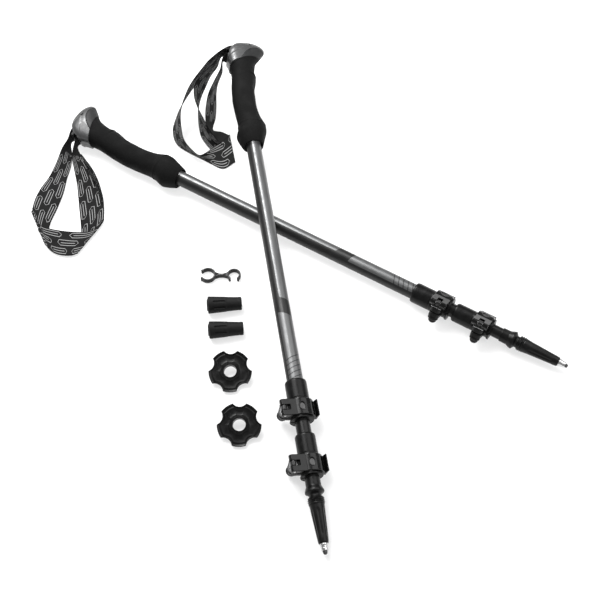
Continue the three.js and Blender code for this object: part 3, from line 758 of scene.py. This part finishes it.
def foam_relief(x, y, z):
    front = clamped((y - 4) / 8)
    ridge = 0.7 * bump_at(x, 137.5 + 0.12 * y, 0.9)
    crease = -0.7 * front * bump_at(x, 57 + 0.15 * y, 0.9) + 0.5 * front * bump_at(x, 54 + 0.15 * y, 2.2)
    crease += -0.35 * front * bump_at(x, 86 + 0.1 * y, 1.0)
    hand = 0.18 * math.sin(x * 0.21 + 0.09 * z) * math.sin(z * 0.23 + 1)
    return ridge + crease + hand


def grip_foam():
    body = grip_form(FOAM_FORM, FOAM_POWERS, step=0.7, sides=128, relief=foam_relief)
    skirt = turned([(154, 0), (154, 9.4), (160, 9.8), (169.5, 11.6), (171, 11.6), (171, 0)], 64, 0.3)
    return reskin(cut(body, head_side(-0.15), rod(9.3, 0, 200), skirt), 0.6, 5, 0.5)


def strap_wedge():
    body = plate([(12.3, -15.6), (16.4, -15.6), (15.9, -5), (12.9, -5)], -12.2, 12.2, 0.5, 0.5)
    grips = [block((11, -18, z), (18, -15, z + 0.8)) for z in (-6, -3.2, -0.4, 2.4, 5.2)]
    return cut(body, *grips)


def strap_pin():
    return pin_z(1.5, *STRAP_PIN, -14.6, 14.6, edge=0.3)


for side in SIDES:
    for make, sharp in ((head_cap, 50), (head_core, 50), (grip_foam, 60), (strap_wedge, 40), (strap_pin, 40)):
        stand_for(make(), f"{side}_{make.__name__}", head_frame(side), sharp)


# ---------------- shafts and tips

TUBE_WALL = 0.7
UPPER_R, MIDDLE_R, LOWER_R = 9, 8, 7
BUSH_RING, BUSH_WALL, BUSH_SLOT = 10, 1.6, 6


def shaft(side, node, radius):
    place = pole_frame(side)
    low, high = extent(node, place)
    stand_for(tube(radius, radius - TUBE_WALL, low[0], high[0]), node, place)


def guide_bush(side, node, radius):
    """Slotted plastic bush: its plug sits in the shaft and its ring runs in the next one."""
    place = pole_frame(side)
    low, high = extent(node, place)
    ring, plug = radius + 0.05, radius - TUBE_WALL - CLEAR
    end = low[0] + BUSH_RING - CLEAR
    inside, start, stop = plug - BUSH_WALL, low[0], high[0]
    profile = [(start, inside), (start, ring), (end, ring), (end, plug), (stop, plug), (stop, inside)]
    body = turned(profile, 64, 0.35, closed=True)
    for wide, high_side in ((20, 0.5), (0.5, 20)):
        cut(body, block((start - 1, -wide, -high_side), (start + BUSH_SLOT, wide, high_side)))
    stand_for(body, node, place)


TIP_LENGTH = 69.5
HOLDER_SEAT, PIN_SEAT = 58.8, 2.3
THREAD_START, THREAD_END, THREAD_PITCH = 21.4, 28.4, 2.2
FLUTES = 6
FLUTES_START, FLUTES_END = 33, 64


def ramp(values):
    """0 below 0, 1 above 1, and the values themselves between."""
    return np.clip(values, 0, 1)


def tip_relief(x, r, angle):
    """A helical thread below the flare and shallow flutes along the taper."""
    wave = np.cos(math.tau * x / THREAD_PITCH - angle)
    inside = ramp((x - THREAD_START) / 1.5) * ramp((THREAD_END - x) / 1.5)
    flute = ramp((x - FLUTES_START) / 4) * ramp((FLUTES_END - x) / 4)
    return 0.42 * wave * inside - 0.6 * flute * ramp(np.cos(FLUTES * angle))


def tip_body():
    outside = [
        (0, 0), (0, 8), (9, 8.15), (13.5, 10.1), (15.6, 10.3), (16.6, 8.6), (18, 6.6), (20.4, 6.6),
        (21.4, 8.4), (28.2, 8.4), (29.4, 7.9), (66, 5.6), (TIP_LENGTH, 5.1), (TIP_LENGTH, 0),
    ]
    body = turned(outside, 96, 0.7, relief=tip_relief, step=0.35)
    return cut(body, rod(7.3, -1, 14.3, sides=72), rod(3.3, HOLDER_SEAT - CLEAR, 80))


def tip_holder():
    stem = [(HOLDER_SEAT, 0), (HOLDER_SEAT, 3)]
    ferrule = [
        (0.3, 3), (0.3, 4.5), (1.6, 4.5), (2.4, 4), (4.2, 3.85), (4.4, 3.65), (4.8, 3.65), (5, 3.8),
        (7.6, 3.4), (7.6, 0),
    ]
    outside = stem + [(TIP_LENGTH + x, r) for x, r in ferrule]
    return cut(turned(outside, 48, 0.3), rod(1.6, TIP_LENGTH + 2, TIP_LENGTH + 8, sides=24))


def carbide_tip():
    """Pin with a hollow fluted crown."""
    crown = [(7.9, 1.3), (7.9, 2.5), (9.6, 2.25), (11, 1.5), (10.8, 1.1), (10.2, 0)]
    profile = [(PIN_SEAT, 0), (PIN_SEAT, 1.3)] + crown

    def teeth(x, r, angle):
        return -0.25 * ramp((x - 8) / 1.5) * (1 - np.abs(np.cos(4 * angle)))

    return turned(profile, 64, 0.2, relief=teeth, step=0.25)


def place_at_tip(side, make, seat=0.0, sharp=40):
    """Puts a piece, made along x from its seat, where its CAD node starts."""
    node, place = f"{side}_{make.__name__}", pole_frame(side)
    start = extent(node, place)[0][0]
    stand_for(moved(make(), (start - seat, 0, 0)), node, place, sharp)


for side in SIDES:
    shaft(side, f"{side}_upper_shaft", UPPER_R)
    shaft(side, f"{side}_middle_shaft", MIDDLE_R)
    shaft(side, f"{side}_lower_shaft", LOWER_R)
    guide_bush(side, f"{side}_middle_guide_bush", MIDDLE_R)
    guide_bush(side, f"{side}_lower_guide_bush", LOWER_R)
    place_at_tip(side, tip_body, sharp=50)
    place_at_tip(side, tip_holder, HOLDER_SEAT)
    place_at_tip(side, carbide_tip, PIN_SEAT)


# ---------------- lever locks

LOCK_MIDDLE = 35
CLAMP_START, CLAMP_END, LOCK_LENGTH = 24, 46, 47.2
EAR_Y, EAR_TOP = -19, 6.5
PIN_Z = 11.6
BOLT_R, BOLT_HOLE_R, BOLT_END = 2, 2.3, -12.5
HINGE_HOLE_R = 1.8
LEVER_FROM, LEVER_TO = LOCK_MIDDLE - 9.5, LOCK_MIDDLE + 9.5
LEVER_WALL = 2.4
CAM_R = 4
COLLAR_WALL = 3
LEVER_GAP = 0.7  # between the collar and the closed lever
WINDOW_FLOOR = 1.9  # the top of the plate in the lever's window, above the collar


def ear(bottom, top):
    half = [(7, -9), (6, EAR_Y - 2.5), (3.5, EAR_Y - 4.6)]
    outline = [(LOCK_MIDDLE + x, y) for x, y in half] + [(LOCK_MIDDLE - x, y) for x, y in reversed(half)]
    return plate(outline, bottom, top, 0.5, 1.2)


def lock_collar(outer_tube):
    """Sleeve with a step ring, a split clamp ring with two ears, and a rim with two fine grooves."""
    wall = outer_tube + COLLAR_WALL
    rim = wall + 1.3
    profile = [
        (0, 0), (0, wall - 1.6), (0.6, wall - 0.6), (2.2, wall), (CLAMP_START - 1.6, wall),
        (CLAMP_START - 1.2, wall - 0.35), (CLAMP_START - 0.6, wall - 0.35), (CLAMP_START - 0.2, wall),
        (CLAMP_END - 1.6, wall), (CLAMP_END - 0.5, rim), (LOCK_LENGTH - 0.1, rim), (LOCK_LENGTH, rim - 1.1),
        (LOCK_LENGTH - 0.35, rim - 1.5), (LOCK_LENGTH, rim - 1.9), (LOCK_LENGTH, 0),
    ]
    body = join(turned(profile, 96, 0.35), ear(1, EAR_TOP), ear(-EAR_TOP, -1))
    seat = rod(outer_tube + CLEAR, -1, 35.3, sides=96)
    throat = rod(outer_tube - 1 + CLEAR, 35, LOCK_LENGTH + 1, sides=96)
    slit = block((CLAMP_START + 2, -40, -1), (LOCK_LENGTH + 1, 0, 1))
    return reskin(cut(body, seat, throat, slit, pin_z(BOLT_HOLE_R, LOCK_MIDDLE, EAR_Y, -20, 20)), 0.3, 3, 0.4)


def lever_section(collar_radius):
    """Round a hinge cam, over the collar and out to a curled lip that stands off it."""
    inner = collar_radius + LEVER_GAP
    outer = inner + LEVER_WALL
    cam = arc((EAR_Y, PIN_Z), CAM_R, -60, -250, 26)
    shell = arc((0, 0), outer, 112, 4, 40)
    lip = [(outer + 2.8, 7.4), (outer + 4, 6.8), (outer + 1.6, -4.6)]
    under = arc((0, 0), inner, -18, 118, 44)
    return cam + shell + lip + under


def lever_window(collar_radius, low, high, grow):
    """Oval hole through the shell; grow widens it."""
    points = [(LOCK_MIDDLE + (3.9 + grow) * math.cos(a), 0.5 + (2.9 + grow) * math.sin(a))
              for a in np.linspace(0, math.tau, 40, endpoint=False)]
    return plate(points, collar_radius + low, collar_radius + high, rim=0)


def lock_lever(outer_tube):
    collar = outer_tube + COLLAR_WALL
    body = slab(lever_section(collar), LEVER_FROM, LEVER_TO, rim=0.6)
    fork = block((LOCK_MIDDLE - 3, EAR_Y - 9, 0), (LOCK_MIDDLE + 3, EAR_Y + 7, 30), 0.0)
    hole = rod(HINGE_HOLE_R, LEVER_FROM - 1, LEVER_TO + 1, (EAR_Y, PIN_Z))
    crown = collar + LEVER_GAP + LEVER_WALL
    flare = lever_window(0, crown - 0.5, crown + 3, 0.9)
    lever = cut(body, fork, hole, lever_window(collar, -4, 12, 0), flare)
    return reskin(join(lever, lever_window(collar, 1, WINDOW_FLOOR, 0.3)), 0.26, 4, 0.4)


def tint_window(lever, outer_tube):
    """Satin metal on the oval plate inside the lever's window."""
    lever.data.materials.append(SATIN_METAL)
    floor = outer_tube + COLLAR_WALL + WINDOW_FLOOR
    for face in lever.data.polygons:
        x, y, z = face.center / MM
        inside = ((x - LOCK_MIDDLE) / 3.8) ** 2 + ((y - 0.5) / 2.8) ** 2 < 1
        face.material_index = int(inside and abs(z - floor) < 0.35 and face.normal.z > 0.8)


def cam_plate():
    x, z = LOCK_MIDDLE, EAR_TOP + CLEAR
    rear, front = EAR_Y - 4, EAR_Y + 4.5
    body = plate([(x - 6, rear), (x + 6, rear), (x + 6, front), (x - 6, front)], z, z + 0.5, 0.12, 0.8)
    return cut(body, pin_z(BOLT_HOLE_R, x, EAR_Y, 0, 20))


def hinge_pin():
    half = LEVER_TO - LOCK_MIDDLE
    profile = [(-half, 0), (-half, 1.1), (-half + 0.4, 1.5), (half - 0.4, 1.5), (half, 1.1), (half, 0)]
    return moved(turned(profile, 40, 0.2), (LOCK_MIDDLE, EAR_Y, PIN_Z))


def eye_bolt():
    """Shank with a ring round the hinge pin, and a fine thread at its end."""
    x = LOCK_MIDDLE
    eye = rod(3.2, x - 2.4, x + 2.4, (EAR_Y, PIN_Z), edge=0.5)

    def thread(at, r, angle):
        return -0.14 * (1 + np.cos(math.tau * at / 0.8 - angle)) * ramp((-4 - at) / 0.4)

    end, top = BOLT_END, PIN_Z - 2
    outside = [(end, 0), (end, BOLT_R - 0.3), (end + 0.3, BOLT_R), (top, BOLT_R), (top, 0)]
    shank = upright(turned(outside, 40, 0.1, relief=thread, step=0.2), (x, EAR_Y, 0))
    return cut(join(eye, shank), rod(HINGE_HOLE_R, x - 9, x + 9, (EAR_Y, PIN_Z)))


def thumb_nut():
    """Domed nut with rings, a fluted flange and a slot in its crown."""
    profile = [(0, 0), (0, 6), (-1.8, 6), (-2.6, 4.8), (-3.6, 4.75), (-3.8, 4.45), (-4.2, 4.45), (-4.4, 4.65),
               (-5.4, 4.4), (-7, 3), (-7.4, 0)]

    def flutes(at, r, angle):
        return -0.3 * ramp((at + 2.4) / 0.4) * (1 - np.abs(np.cos(10 * angle))) ** 2

    body = turned(profile, 120, 0.3, relief=flutes, step=0.3)
    upright(body, (LOCK_MIDDLE, EAR_Y, -EAR_TOP - CLEAR))
    bore = pin_z(BOLT_HOLE_R, LOCK_MIDDLE, EAR_Y, -12.8, 0)
    x, bottom = LOCK_MIDDLE, -EAR_TOP - CLEAR - 7.4
    slot = block((x - 2.4, EAR_Y - 0.45, bottom - 1), (x + 2.4, EAR_Y + 0.45, bottom + 0.6))
    return cut(body, bore, slot)


for side in SIDES:
    for lock, outer_tube in (("upper", UPPER_R), ("lower", MIDDLE_R)):
        place, name = lock_frame(side, lock), f"{side}_{lock}_lock"
        stand_for(lock_collar(outer_tube), f"{name}_collar", place)
        tint_window(stand_for(lock_lever(outer_tube), f"{name}_lever", place, 50), outer_tube)
        stand_for(cam_plate(), f"{name}_cam_plate", place)
        stand_for(hinge_pin(), f"{name}_hinge_pin", place)
        bolt = stand_for(eye_bolt(), f"{name}_eye_bolt", place)
        bolt.data.materials[0] = BLACKENED_STEEL
        stand_for(thumb_nut(), f"{name}_thumb_nut", place)


# ---------------- baskets

BASKET_R, BASKET_HOLE_R, BASKET_HUB_R = 24, 7, 9.4
LOBES = 5
SCALLOP_AT, SCALLOP_R = 29, 9.5


def rim_distance(angle):
    """How far the basket's edge is from its middle, between the round gaps that part its lobes."""
    nearest = (angle - math.pi / 2 + math.pi / LOBES) % (math.tau / LOBES) - math.pi / LOBES
    reach = SCALLOP_AT * math.cos(nearest)
    under = SCALLOP_R**2 - (SCALLOP_AT * math.sin(nearest)) ** 2
    gap = reach - math.sqrt(under) if under > 0 else BASKET_R
    return min(BASKET_R, gap)


def basket():
    """Dished lobes round a hub, with steps round the hole and a groove along each lobe's rim.
    top gives the share of the way from hole to edge and the height there."""
    sides = 400
    top = [
        (0, 8.1), (0.1, 8.1), (0.14, 7.6), (0.22, 7.6), (0.26, 7), (0.36, 6.7), (0.5, 6.5), (0.62, 6.6),
        (0.72, 7), (0.76, 7.05), (0.79, 6.75), (0.83, 6.8), (0.86, 7.25), (0.92, 7.7), (0.97, 8.1), (1, 7.8),
    ]
    points, faces = [], []
    for k in range(sides):
        angle = math.tau * k / sides
        edge = rim_distance(angle)
        dip = 1.2 * (BASKET_R - edge) / (BASKET_R - 15)
        width = edge - BASKET_HOLE_R
        ring = [(BASKET_HOLE_R + share * width, high - dip * share**2) for share, high in top]
        rim = ring[-1][1]
        under = [
            (edge, rim - 0.9), (edge - 1.2, rim - 1.6), (0.5 * (edge + 10), 4.6), (11, 3.9),
            (BASKET_HUB_R + 0.4, 3.2), (BASKET_HUB_R, 0.4), (BASKET_HUB_R - 0.4, 0),
            (BASKET_HOLE_R + 0.5, 0), (BASKET_HOLE_R, 0.4),
        ]
        points += [(r * math.cos(angle), r * math.sin(angle), z) for r, z in ring + under]
    count = len(points) // sides
    for k in range(sides):
        a, b = k * count, (k + 1) % sides * count
        faces += [(a + i, b + i, b + (i + 1) % count, a + (i + 1) % count) for i in range(count)]
    return solid(points, faces)


def basket_frame(node):
    """From the ring under the hub, the lowest part of the basket along its own axis."""
    tilt = Matrix.Rotation(BASKET_TIP, 4, "X")
    low, high = extent(node, tilt)
    hub = Vector(((low[0] + high[0]) / 2, hub_middle(node, tilt), low[2])) * MM
    return Matrix.Translation(tilt @ hub) @ tilt


def hub_middle(node, tilt):
    """Middle in y, in the tilted frame, of the lowest ring of the node's vertices, in mm."""
    points = points_in(tilt, node)
    ring = points[points[:, 2] < points[:, 2].min() + 0.05]
    return (ring[:, 1].min() + ring[:, 1].max()) / 2


for node in ("basket_1", "basket_2"):
    stand_for(basket(), node, basket_frame(node), 35)


# ---------------- rubber tips

COVER_LENGTH = 40


def rubber_tip():
    """Tapered cover with a step near its sole, a lip at its mouth and long recesses round its side."""
    outside = [
        (0, 0), (0, 6.3), (1, 7.0), (1.2, 9.4), (2.2, 10), (4.4, 9.85), (22, 8.7), (22.5, 8.4), (24, 8.35),
        (36.2, 7.55), (36.8, 7.75), (39.4, 7.6), (COVER_LENGTH, 7.3), (COVER_LENGTH, 0),
    ]
    socket = turned([(10, 0), (10, 3.4), (COVER_LENGTH + 1, 5.6), (COVER_LENGTH + 1, 0)], 48, 0)
    body = cut(turned(outside, 96, 0.6, step=0.6), socket)
    for angle in (12, 59, 192, 239):
        groove = plate([*arc((19.7, 0), 1.3, -90, 90, 10), *arc((8.3, 0), 1.3, 90, 270, 10)], 7.7, 16, rim=0)
        cut(body, moved(groove, turn=math.radians(angle)))
    return reskin(body, 0.32, 3, 0.4)


for node in ("rubber_tip_1", "rubber_tip_2"):
    sole = mount_of(f"{node}_sole")
    stand_for(rubber_tip(), node, local_frame(-Vector(sole["axis"]), UP, sole["pos_m"]), 50)


# ---------------- joining clip

CLIP_HEIGHT, CLIP_WALL = 6, 2.1


def clip_ring(x, radius, start, end):
    outline = arc((x, 0), radius, start, end, 60) + arc((x, 0), radius - CLIP_WALL, end, start, 60)
    reach = radius - CLIP_WALL / 2 + 0.6
    body = plate(outline, 0, CLIP_HEIGHT, 0.5)
    lips = []
    for angle in (math.radians(start), math.radians(end)):
        at = (x + reach * math.cos(angle), reach * math.sin(angle))
        lips.append(plate(arc(at, 1.4, 0, 350, 24), 0, CLIP_HEIGHT, 0.5))
    return join(body, *lips)


def joining_clip():
    """Two open rings joined by a waisted web with a small recess on each side of its neck."""
    above = [(-9 + 18.2 * t, 5.2 - 0.8 * t - 15.2 * t * (1 - t)) for t in np.linspace(0, 1, 16)]
    below = [(9 - 18 * t, -4 - 1.2 * t + 11.2 * t * (1 - t)) for t in np.linspace(0, 1, 16)]
    web = plate([*above, (7.9, 0), *below, (-7, 0)], 0.3, CLIP_HEIGHT - 0.3, 0.4)
    body = join(web, clip_ring(-15.4, 9.3, -142, 142), clip_ring(15.2, 8.1, -50, 230))
    for face in (-1, CLIP_HEIGHT - 1.2):
        for side in (-1, 1):
            recess = [(side * 2.6, 0), (side * 5.4, 1.7), (side * 5.4, -1.5)]
            cut(body, plate(recess, face, face + 2.2, rim=0, round_by=0.5))
    return reskin(body, 0.28, 3, 0.4)


clip_place = local_frame(Vector((1, 0, 0)), UP, mount_of("clip_base")["pos_m"])
stand_for(moved(joining_clip(), (-CLIP_BASE_X, 0, 0)), "joining_clip", clip_place, 50)


# ---------------- wrist straps

WEBBING = 24.6
WEBBING_THICKNESS = 1.3
LEAN = Vector((0.08, -0.69, 0.72)).normalized()  # the way a strap on edge leans
STRAND_X = (9.2, 19.6)  # the strap leaves the slot on both sides of its wedge
SLOT_STATIONS = ((-5, 24.6), (-13, 21), (-17, 15))  # y in the head, and the width gathered there
CLIP_IN_SET = Vector((-100.2, 33, 0))
CREASE_DEPTH = 0.9
SET_ORIGIN = Vector(mount_of("clip_base")["pos_m"]) / MM - CLIP_IN_SET


def spot(x, y, z):
    """A point in the shared frame, in mm, given from the set's own origin."""
    return SET_ORIGIN + Vector((x, y, z))


def edges(rows):
    """Both edges of a strap, from rows of two points."""
    return [(spot(*a), spot(*b)) for a, b in rows]


def hung(rows):
    """Both edges of a hanging strap, from rows of (x, y) of its upper and lower edge and a height.
    Each row leans back until the strap has its full width, or until its lower edge meets the ground."""
    out = []
    for upper, lower, height in rows:
        a, b = spot(*upper, height), spot(*lower, height)
        middle_point, flat = (a + b) / 2, a - b
        along = flat.dot(LEAN)
        lean = math.sqrt(max(0.0, along**2 + WEBBING**2 - flat.length_squared)) - along
        lean = min(lean, 2 * (height - WEBBING_THICKNESS) / LEAN.z)
        half = (flat + LEAN * max(0.0, lean)) / 2
        out.append((middle_point + half, middle_point - half))
    return out


def slot_edges(side, x, first=1):
    """The straight stretch from inside the head's slot to behind the head.
    first is 1 where the first edge is on the +z side of the head, and -1 where it is on the other."""
    head = head_frame(side)
    return [tuple(head @ (Vector((x, y, first * s * width / 2)) * MM) / MM for s in (1, -1))
            for y, width in SLOT_STATIONS]


def webbing(rails, cup=0.0, crease=None, step=1.3, across=27):
    """Closed ribbon between two edges, with its print's uv. Returns it and its length in mm.
    crease is the mm along it where a fold line starts and ends."""
    centres = [(a + b) / 2 for a, b in rails]
    along, rows = 0.0, []
    for i, (a, b) in enumerate(rails):
        along += (centres[i] - centres[i - 1]).length if i else 0
        rows.append((along, *a, *b))
    rows = np.array(smooth_rows(rows, step))
    first, second = rows[:, 1:4], rows[:, 4:7]
    centre = (first + second) / 2
    at = np.concatenate([[0], np.cumsum(np.linalg.norm(np.diff(centre, axis=0), axis=1))])
    tangent = np.gradient(centre, axis=0)
    normal = np.cross(tangent, second - first)
    normal /= np.linalg.norm(normal, axis=1)[:, None]
    share = np.linspace(0, 1, across)
    half = WEBBING_THICKNESS / 2 * (1 - 0.45 * np.abs(2 * share - 1) ** 10)
    points, place = [], []
    for i in range(len(rows)):
        sag = cup * 4 * share * (1 - share) + 0.12 * np.sin(at[i] * 0.13 + 4 * share)
        if crease and crease[0] < at[i] < crease[1]:
            part = (at[i] - crease[0]) / (crease[1] - crease[0])
            depth = CREASE_DEPTH * min(1.0, 6 * part, 6 * (1 - part))
            sag = sag - depth * np.exp(-(((share - 0.6 + 0.25 * part) / 0.05) ** 2))
        middle_line = first[i] + (second[i] - first[i]) * share[:, None] + normal[i] * sag[:, None]
        points += list(middle_line + normal[i] * half[:, None])
        points += list((middle_line - normal[i] * half[:, None])[::-1])
        place += [(at[i], s) for s in share] + [(at[i], s) for s in share[::-1]]
    return solid(points, ring_faces(len(rows), 2 * across, False), place), float(at[-1])


def lay_strap(side, part, rails, cup=0.0, crease=None, plain_until=0.0, plain_end=0.0):
    """plain_until and plain_end are the mm without a print at the strap's start and at its end."""
    made, length = webbing(rails, cup, crease)
    piece = stand_for(made, f"{side}_wrist_strap", Matrix.Identity(4), 35, f"{side}_strap_{part}")
    piece.data.materials[0] = webbing_finish(f"{side}_{part}_webbing", plain_until, length - plain_end)


left_band = edges([
    ((-301.5, 222, 16), (-291, 220, 3)), ((-308, 203, 9), (-290.5, 203, 2)),
    ((-315, 185, 4), (-293, 183, 1.6)), ((-324, 165, 3), (-295, 158, 1.5)),
    ((-328.5, 148, 2.5), (-299.5, 134, 1.4)), ((-330, 134, 2), (-305, 110, 1.2)),
    ((-330, 132, 1.2), (-306.5, 84, 1.0)),
])
bottom_band = edges([
    ((-330.5, 130, 2), (-306, 78, 2)), ((-329, 127, 3.6), (-305, 77, 3.4)),
    ((-322, 113.5, 4), (-301, 71.5, 3.2)), ((-314, 105.5, 4), (-295, 66.5, 3)),
    ((-303, 101.5, 4), (-288, 63.3, 3)), ((-291, 98.8, 4), (-281.5, 62, 3)),
    ((-279, 97.2, 4), (-275.5, 61.8, 3)), ((-266, 96.4, 4), (-271, 62.5, 3.1)),
    ((-255, 97.3, 4), (-268, 64, 3.3)), ((-247, 101, 4), (-267, 64.5, 3.4)),
    ((-240, 116, 2.4), (-266.5, 66, 2.2)),
])
right_band = edges([
    ((-240.3, 120, 1.4), (-266, 72, 1.2)), ((-241.5, 135, 1.5), (-265, 92, 1.3)),
    ((-244, 150, 1.7), (-268, 113, 1.4)), ((-248, 164, 2), (-272, 134, 1.6)),
    ((-254, 181, 2.6), (-275.5, 153, 2)), ((-262, 197, 3), (-279, 172, 3.5)),
    ((-270, 209, 3.5), (-283.5, 190, 7)), ((-279, 219.5, 3), (-287.5, 209, 15)),
])
left_tail = edges([
    ((-275, 206, 22), (-273.5, 208.5, 2.8)), ((-265.5, 191.5, 24), (-265.5, 190.5, 2.8)),
    ((-256.5, 175, 23), (-257, 173, 2.6)), ((-249, 159, 18), (-248.5, 156, 2.4)),
    ((-244.5, 144, 10), (-246.5, 142, 2.2)),
])
right_outer = hung([
    ((-118, 345), (-113, 338), 49), ((-128, 331), (-124, 324), 46), ((-138, 317), (-136, 307), 41),
    ((-148, 297), (-150, 285), 33), ((-153, 276), (-159, 266), 26), ((-152, 256), (-163, 247), 19),
    ((-148, 238), (-157, 229), 14), ((-138, 225), (-141, 217), 11), ((-127, 218), (-126, 211), 7),
    ((-115, 230), (-113, 205), 4.2), ((-102, 242), (-98, 197), 4.2), ((-91, 256), (-82, 208), 4.2),
])
right_middle = hung([
    ((-112, 340), (-108, 332), 49), ((-124, 326), (-116, 318), 46), ((-135, 311), (-121, 306), 42),
    ((-136, 292), (-128, 289), 35), ((-131, 279), (-131, 276), 27), ((-125, 270), (-131, 265), 20),
    ((-116, 255), (-129, 252), 14), ((-105, 240), (-125, 242), 9.5), ((-97, 239), (-114, 229), 2.6),
    ((-90, 227), (-104, 215), 2.4),
])
right_inner = hung([
    ((-104, 326), (-101, 321), 49), ((-111, 313), (-106, 307), 43), ((-118, 299), (-108, 294), 36),
    ((-121, 285), (-108, 281), 28), ((-122, 272), (-109, 270), 19), ((-120, 259), (-112, 256), 12),
    ((-112, 246), (-102, 262), 2), ((-99, 239), (-90, 256), 1.2),
])

left_loop = slot_edges("left", STRAND_X[0]) + left_band + bottom_band + right_band
lay_strap("left", "loop", left_loop + slot_edges("left", STRAND_X[1], -1)[::-1],
          crease=(140, 208), plain_until=30, plain_end=30)
lay_strap("left", "tail", left_tail, 0.6)
right_strands = (
    ("outer", STRAND_X[0], right_outer, 0),
    ("middle", STRAND_X[0] + 1.6, right_middle, 0),
    ("inner", STRAND_X[1], right_inner, 38),
)
for name, slot_x, rails, plain_end in right_strands:
    rails = slot_edges("right", slot_x) + rails
    lay_strap("right", f"{name}_strand", rails, 0.3, plain_until=20, plain_end=plain_end)


# ---------------- camera, floor and lights

VIEW_TARGET = Vector((16.96, -29.55, 0.07)) * MM
CAMERA_AT = Vector((16.96, -721.8, 1026.4)) * MM
LENS, SENSOR = 63.84, 36
FLOOR_REACH = 6  # metres
SURROUND_STRENGTH = 0.36
LIGHTS = (  # name, place, size, power and whether it casts shadows
    ("key", (-0.7, 0.9, 1.6), 1.5, 30, True),
    ("gleam", (-0.4, 1.1, 1.5), 0.5, 20, False),
    ("fill", (1.1, 0.3, 1.5), 1.8, 18, False),
)


def add_aimed(name, data, at):
    """An object at a place in metres that faces the middle of the set."""
    made = bpy.data.objects.new(name, data)
    bpy.context.scene.collection.objects.link(made)
    made.location = at
    made.rotation_euler = (VIEW_TARGET - Vector(at)).to_track_quat("-Z", "Y").to_euler()
    return made


def add_camera():
    lens = bpy.data.cameras.new("camera")
    lens.lens, lens.sensor_width = LENS, SENSOR
    bpy.context.scene.camera = add_aimed("camera", lens, CAMERA_AT)


def add_light(name, at, size, power, shadow):
    lamp = bpy.data.lights.new(name, "AREA")
    lamp.use_shadow = shadow
    lamp.shape, lamp.size, lamp.energy = "DISK", size, power
    add_aimed(name, lamp, at)


def add_floor():
    s = Shader("pale_floor")
    s.set(Base_Color=s.mix(s.noise(s.place(), 0.004, 2), grey(0.86), grey(0.9)), Roughness=0.9)
    mesh = bpy.data.meshes.new("floor")
    corners = [(x * FLOOR_REACH, y * FLOOR_REACH, 0) for x, y in ((-1, -1), (1, -1), (1, 1), (-1, 1))]
    mesh.from_pydata(corners, [], [(0, 1, 2, 3)])
    mesh.materials.append(s.material)
    floor = bpy.data.objects.new("floor", mesh)
    bpy.context.scene.collection.objects.link(floor)


def add_surround():
    world = bpy.data.worlds.new("surround")
    world.use_nodes = True
    background = world.node_tree.nodes["Background"]
    background.inputs["Color"].default_value = (1, 1, 1, 1)
    background.inputs["Strength"].default_value = SURROUND_STRENGTH
    bpy.context.scene.world = world


add_camera()
add_floor()
add_surround()
for light in LIGHTS:
    add_light(*light)
bpy.context.scene.view_settings.view_transform = "Standard"

bpy.context.view_layer.update()
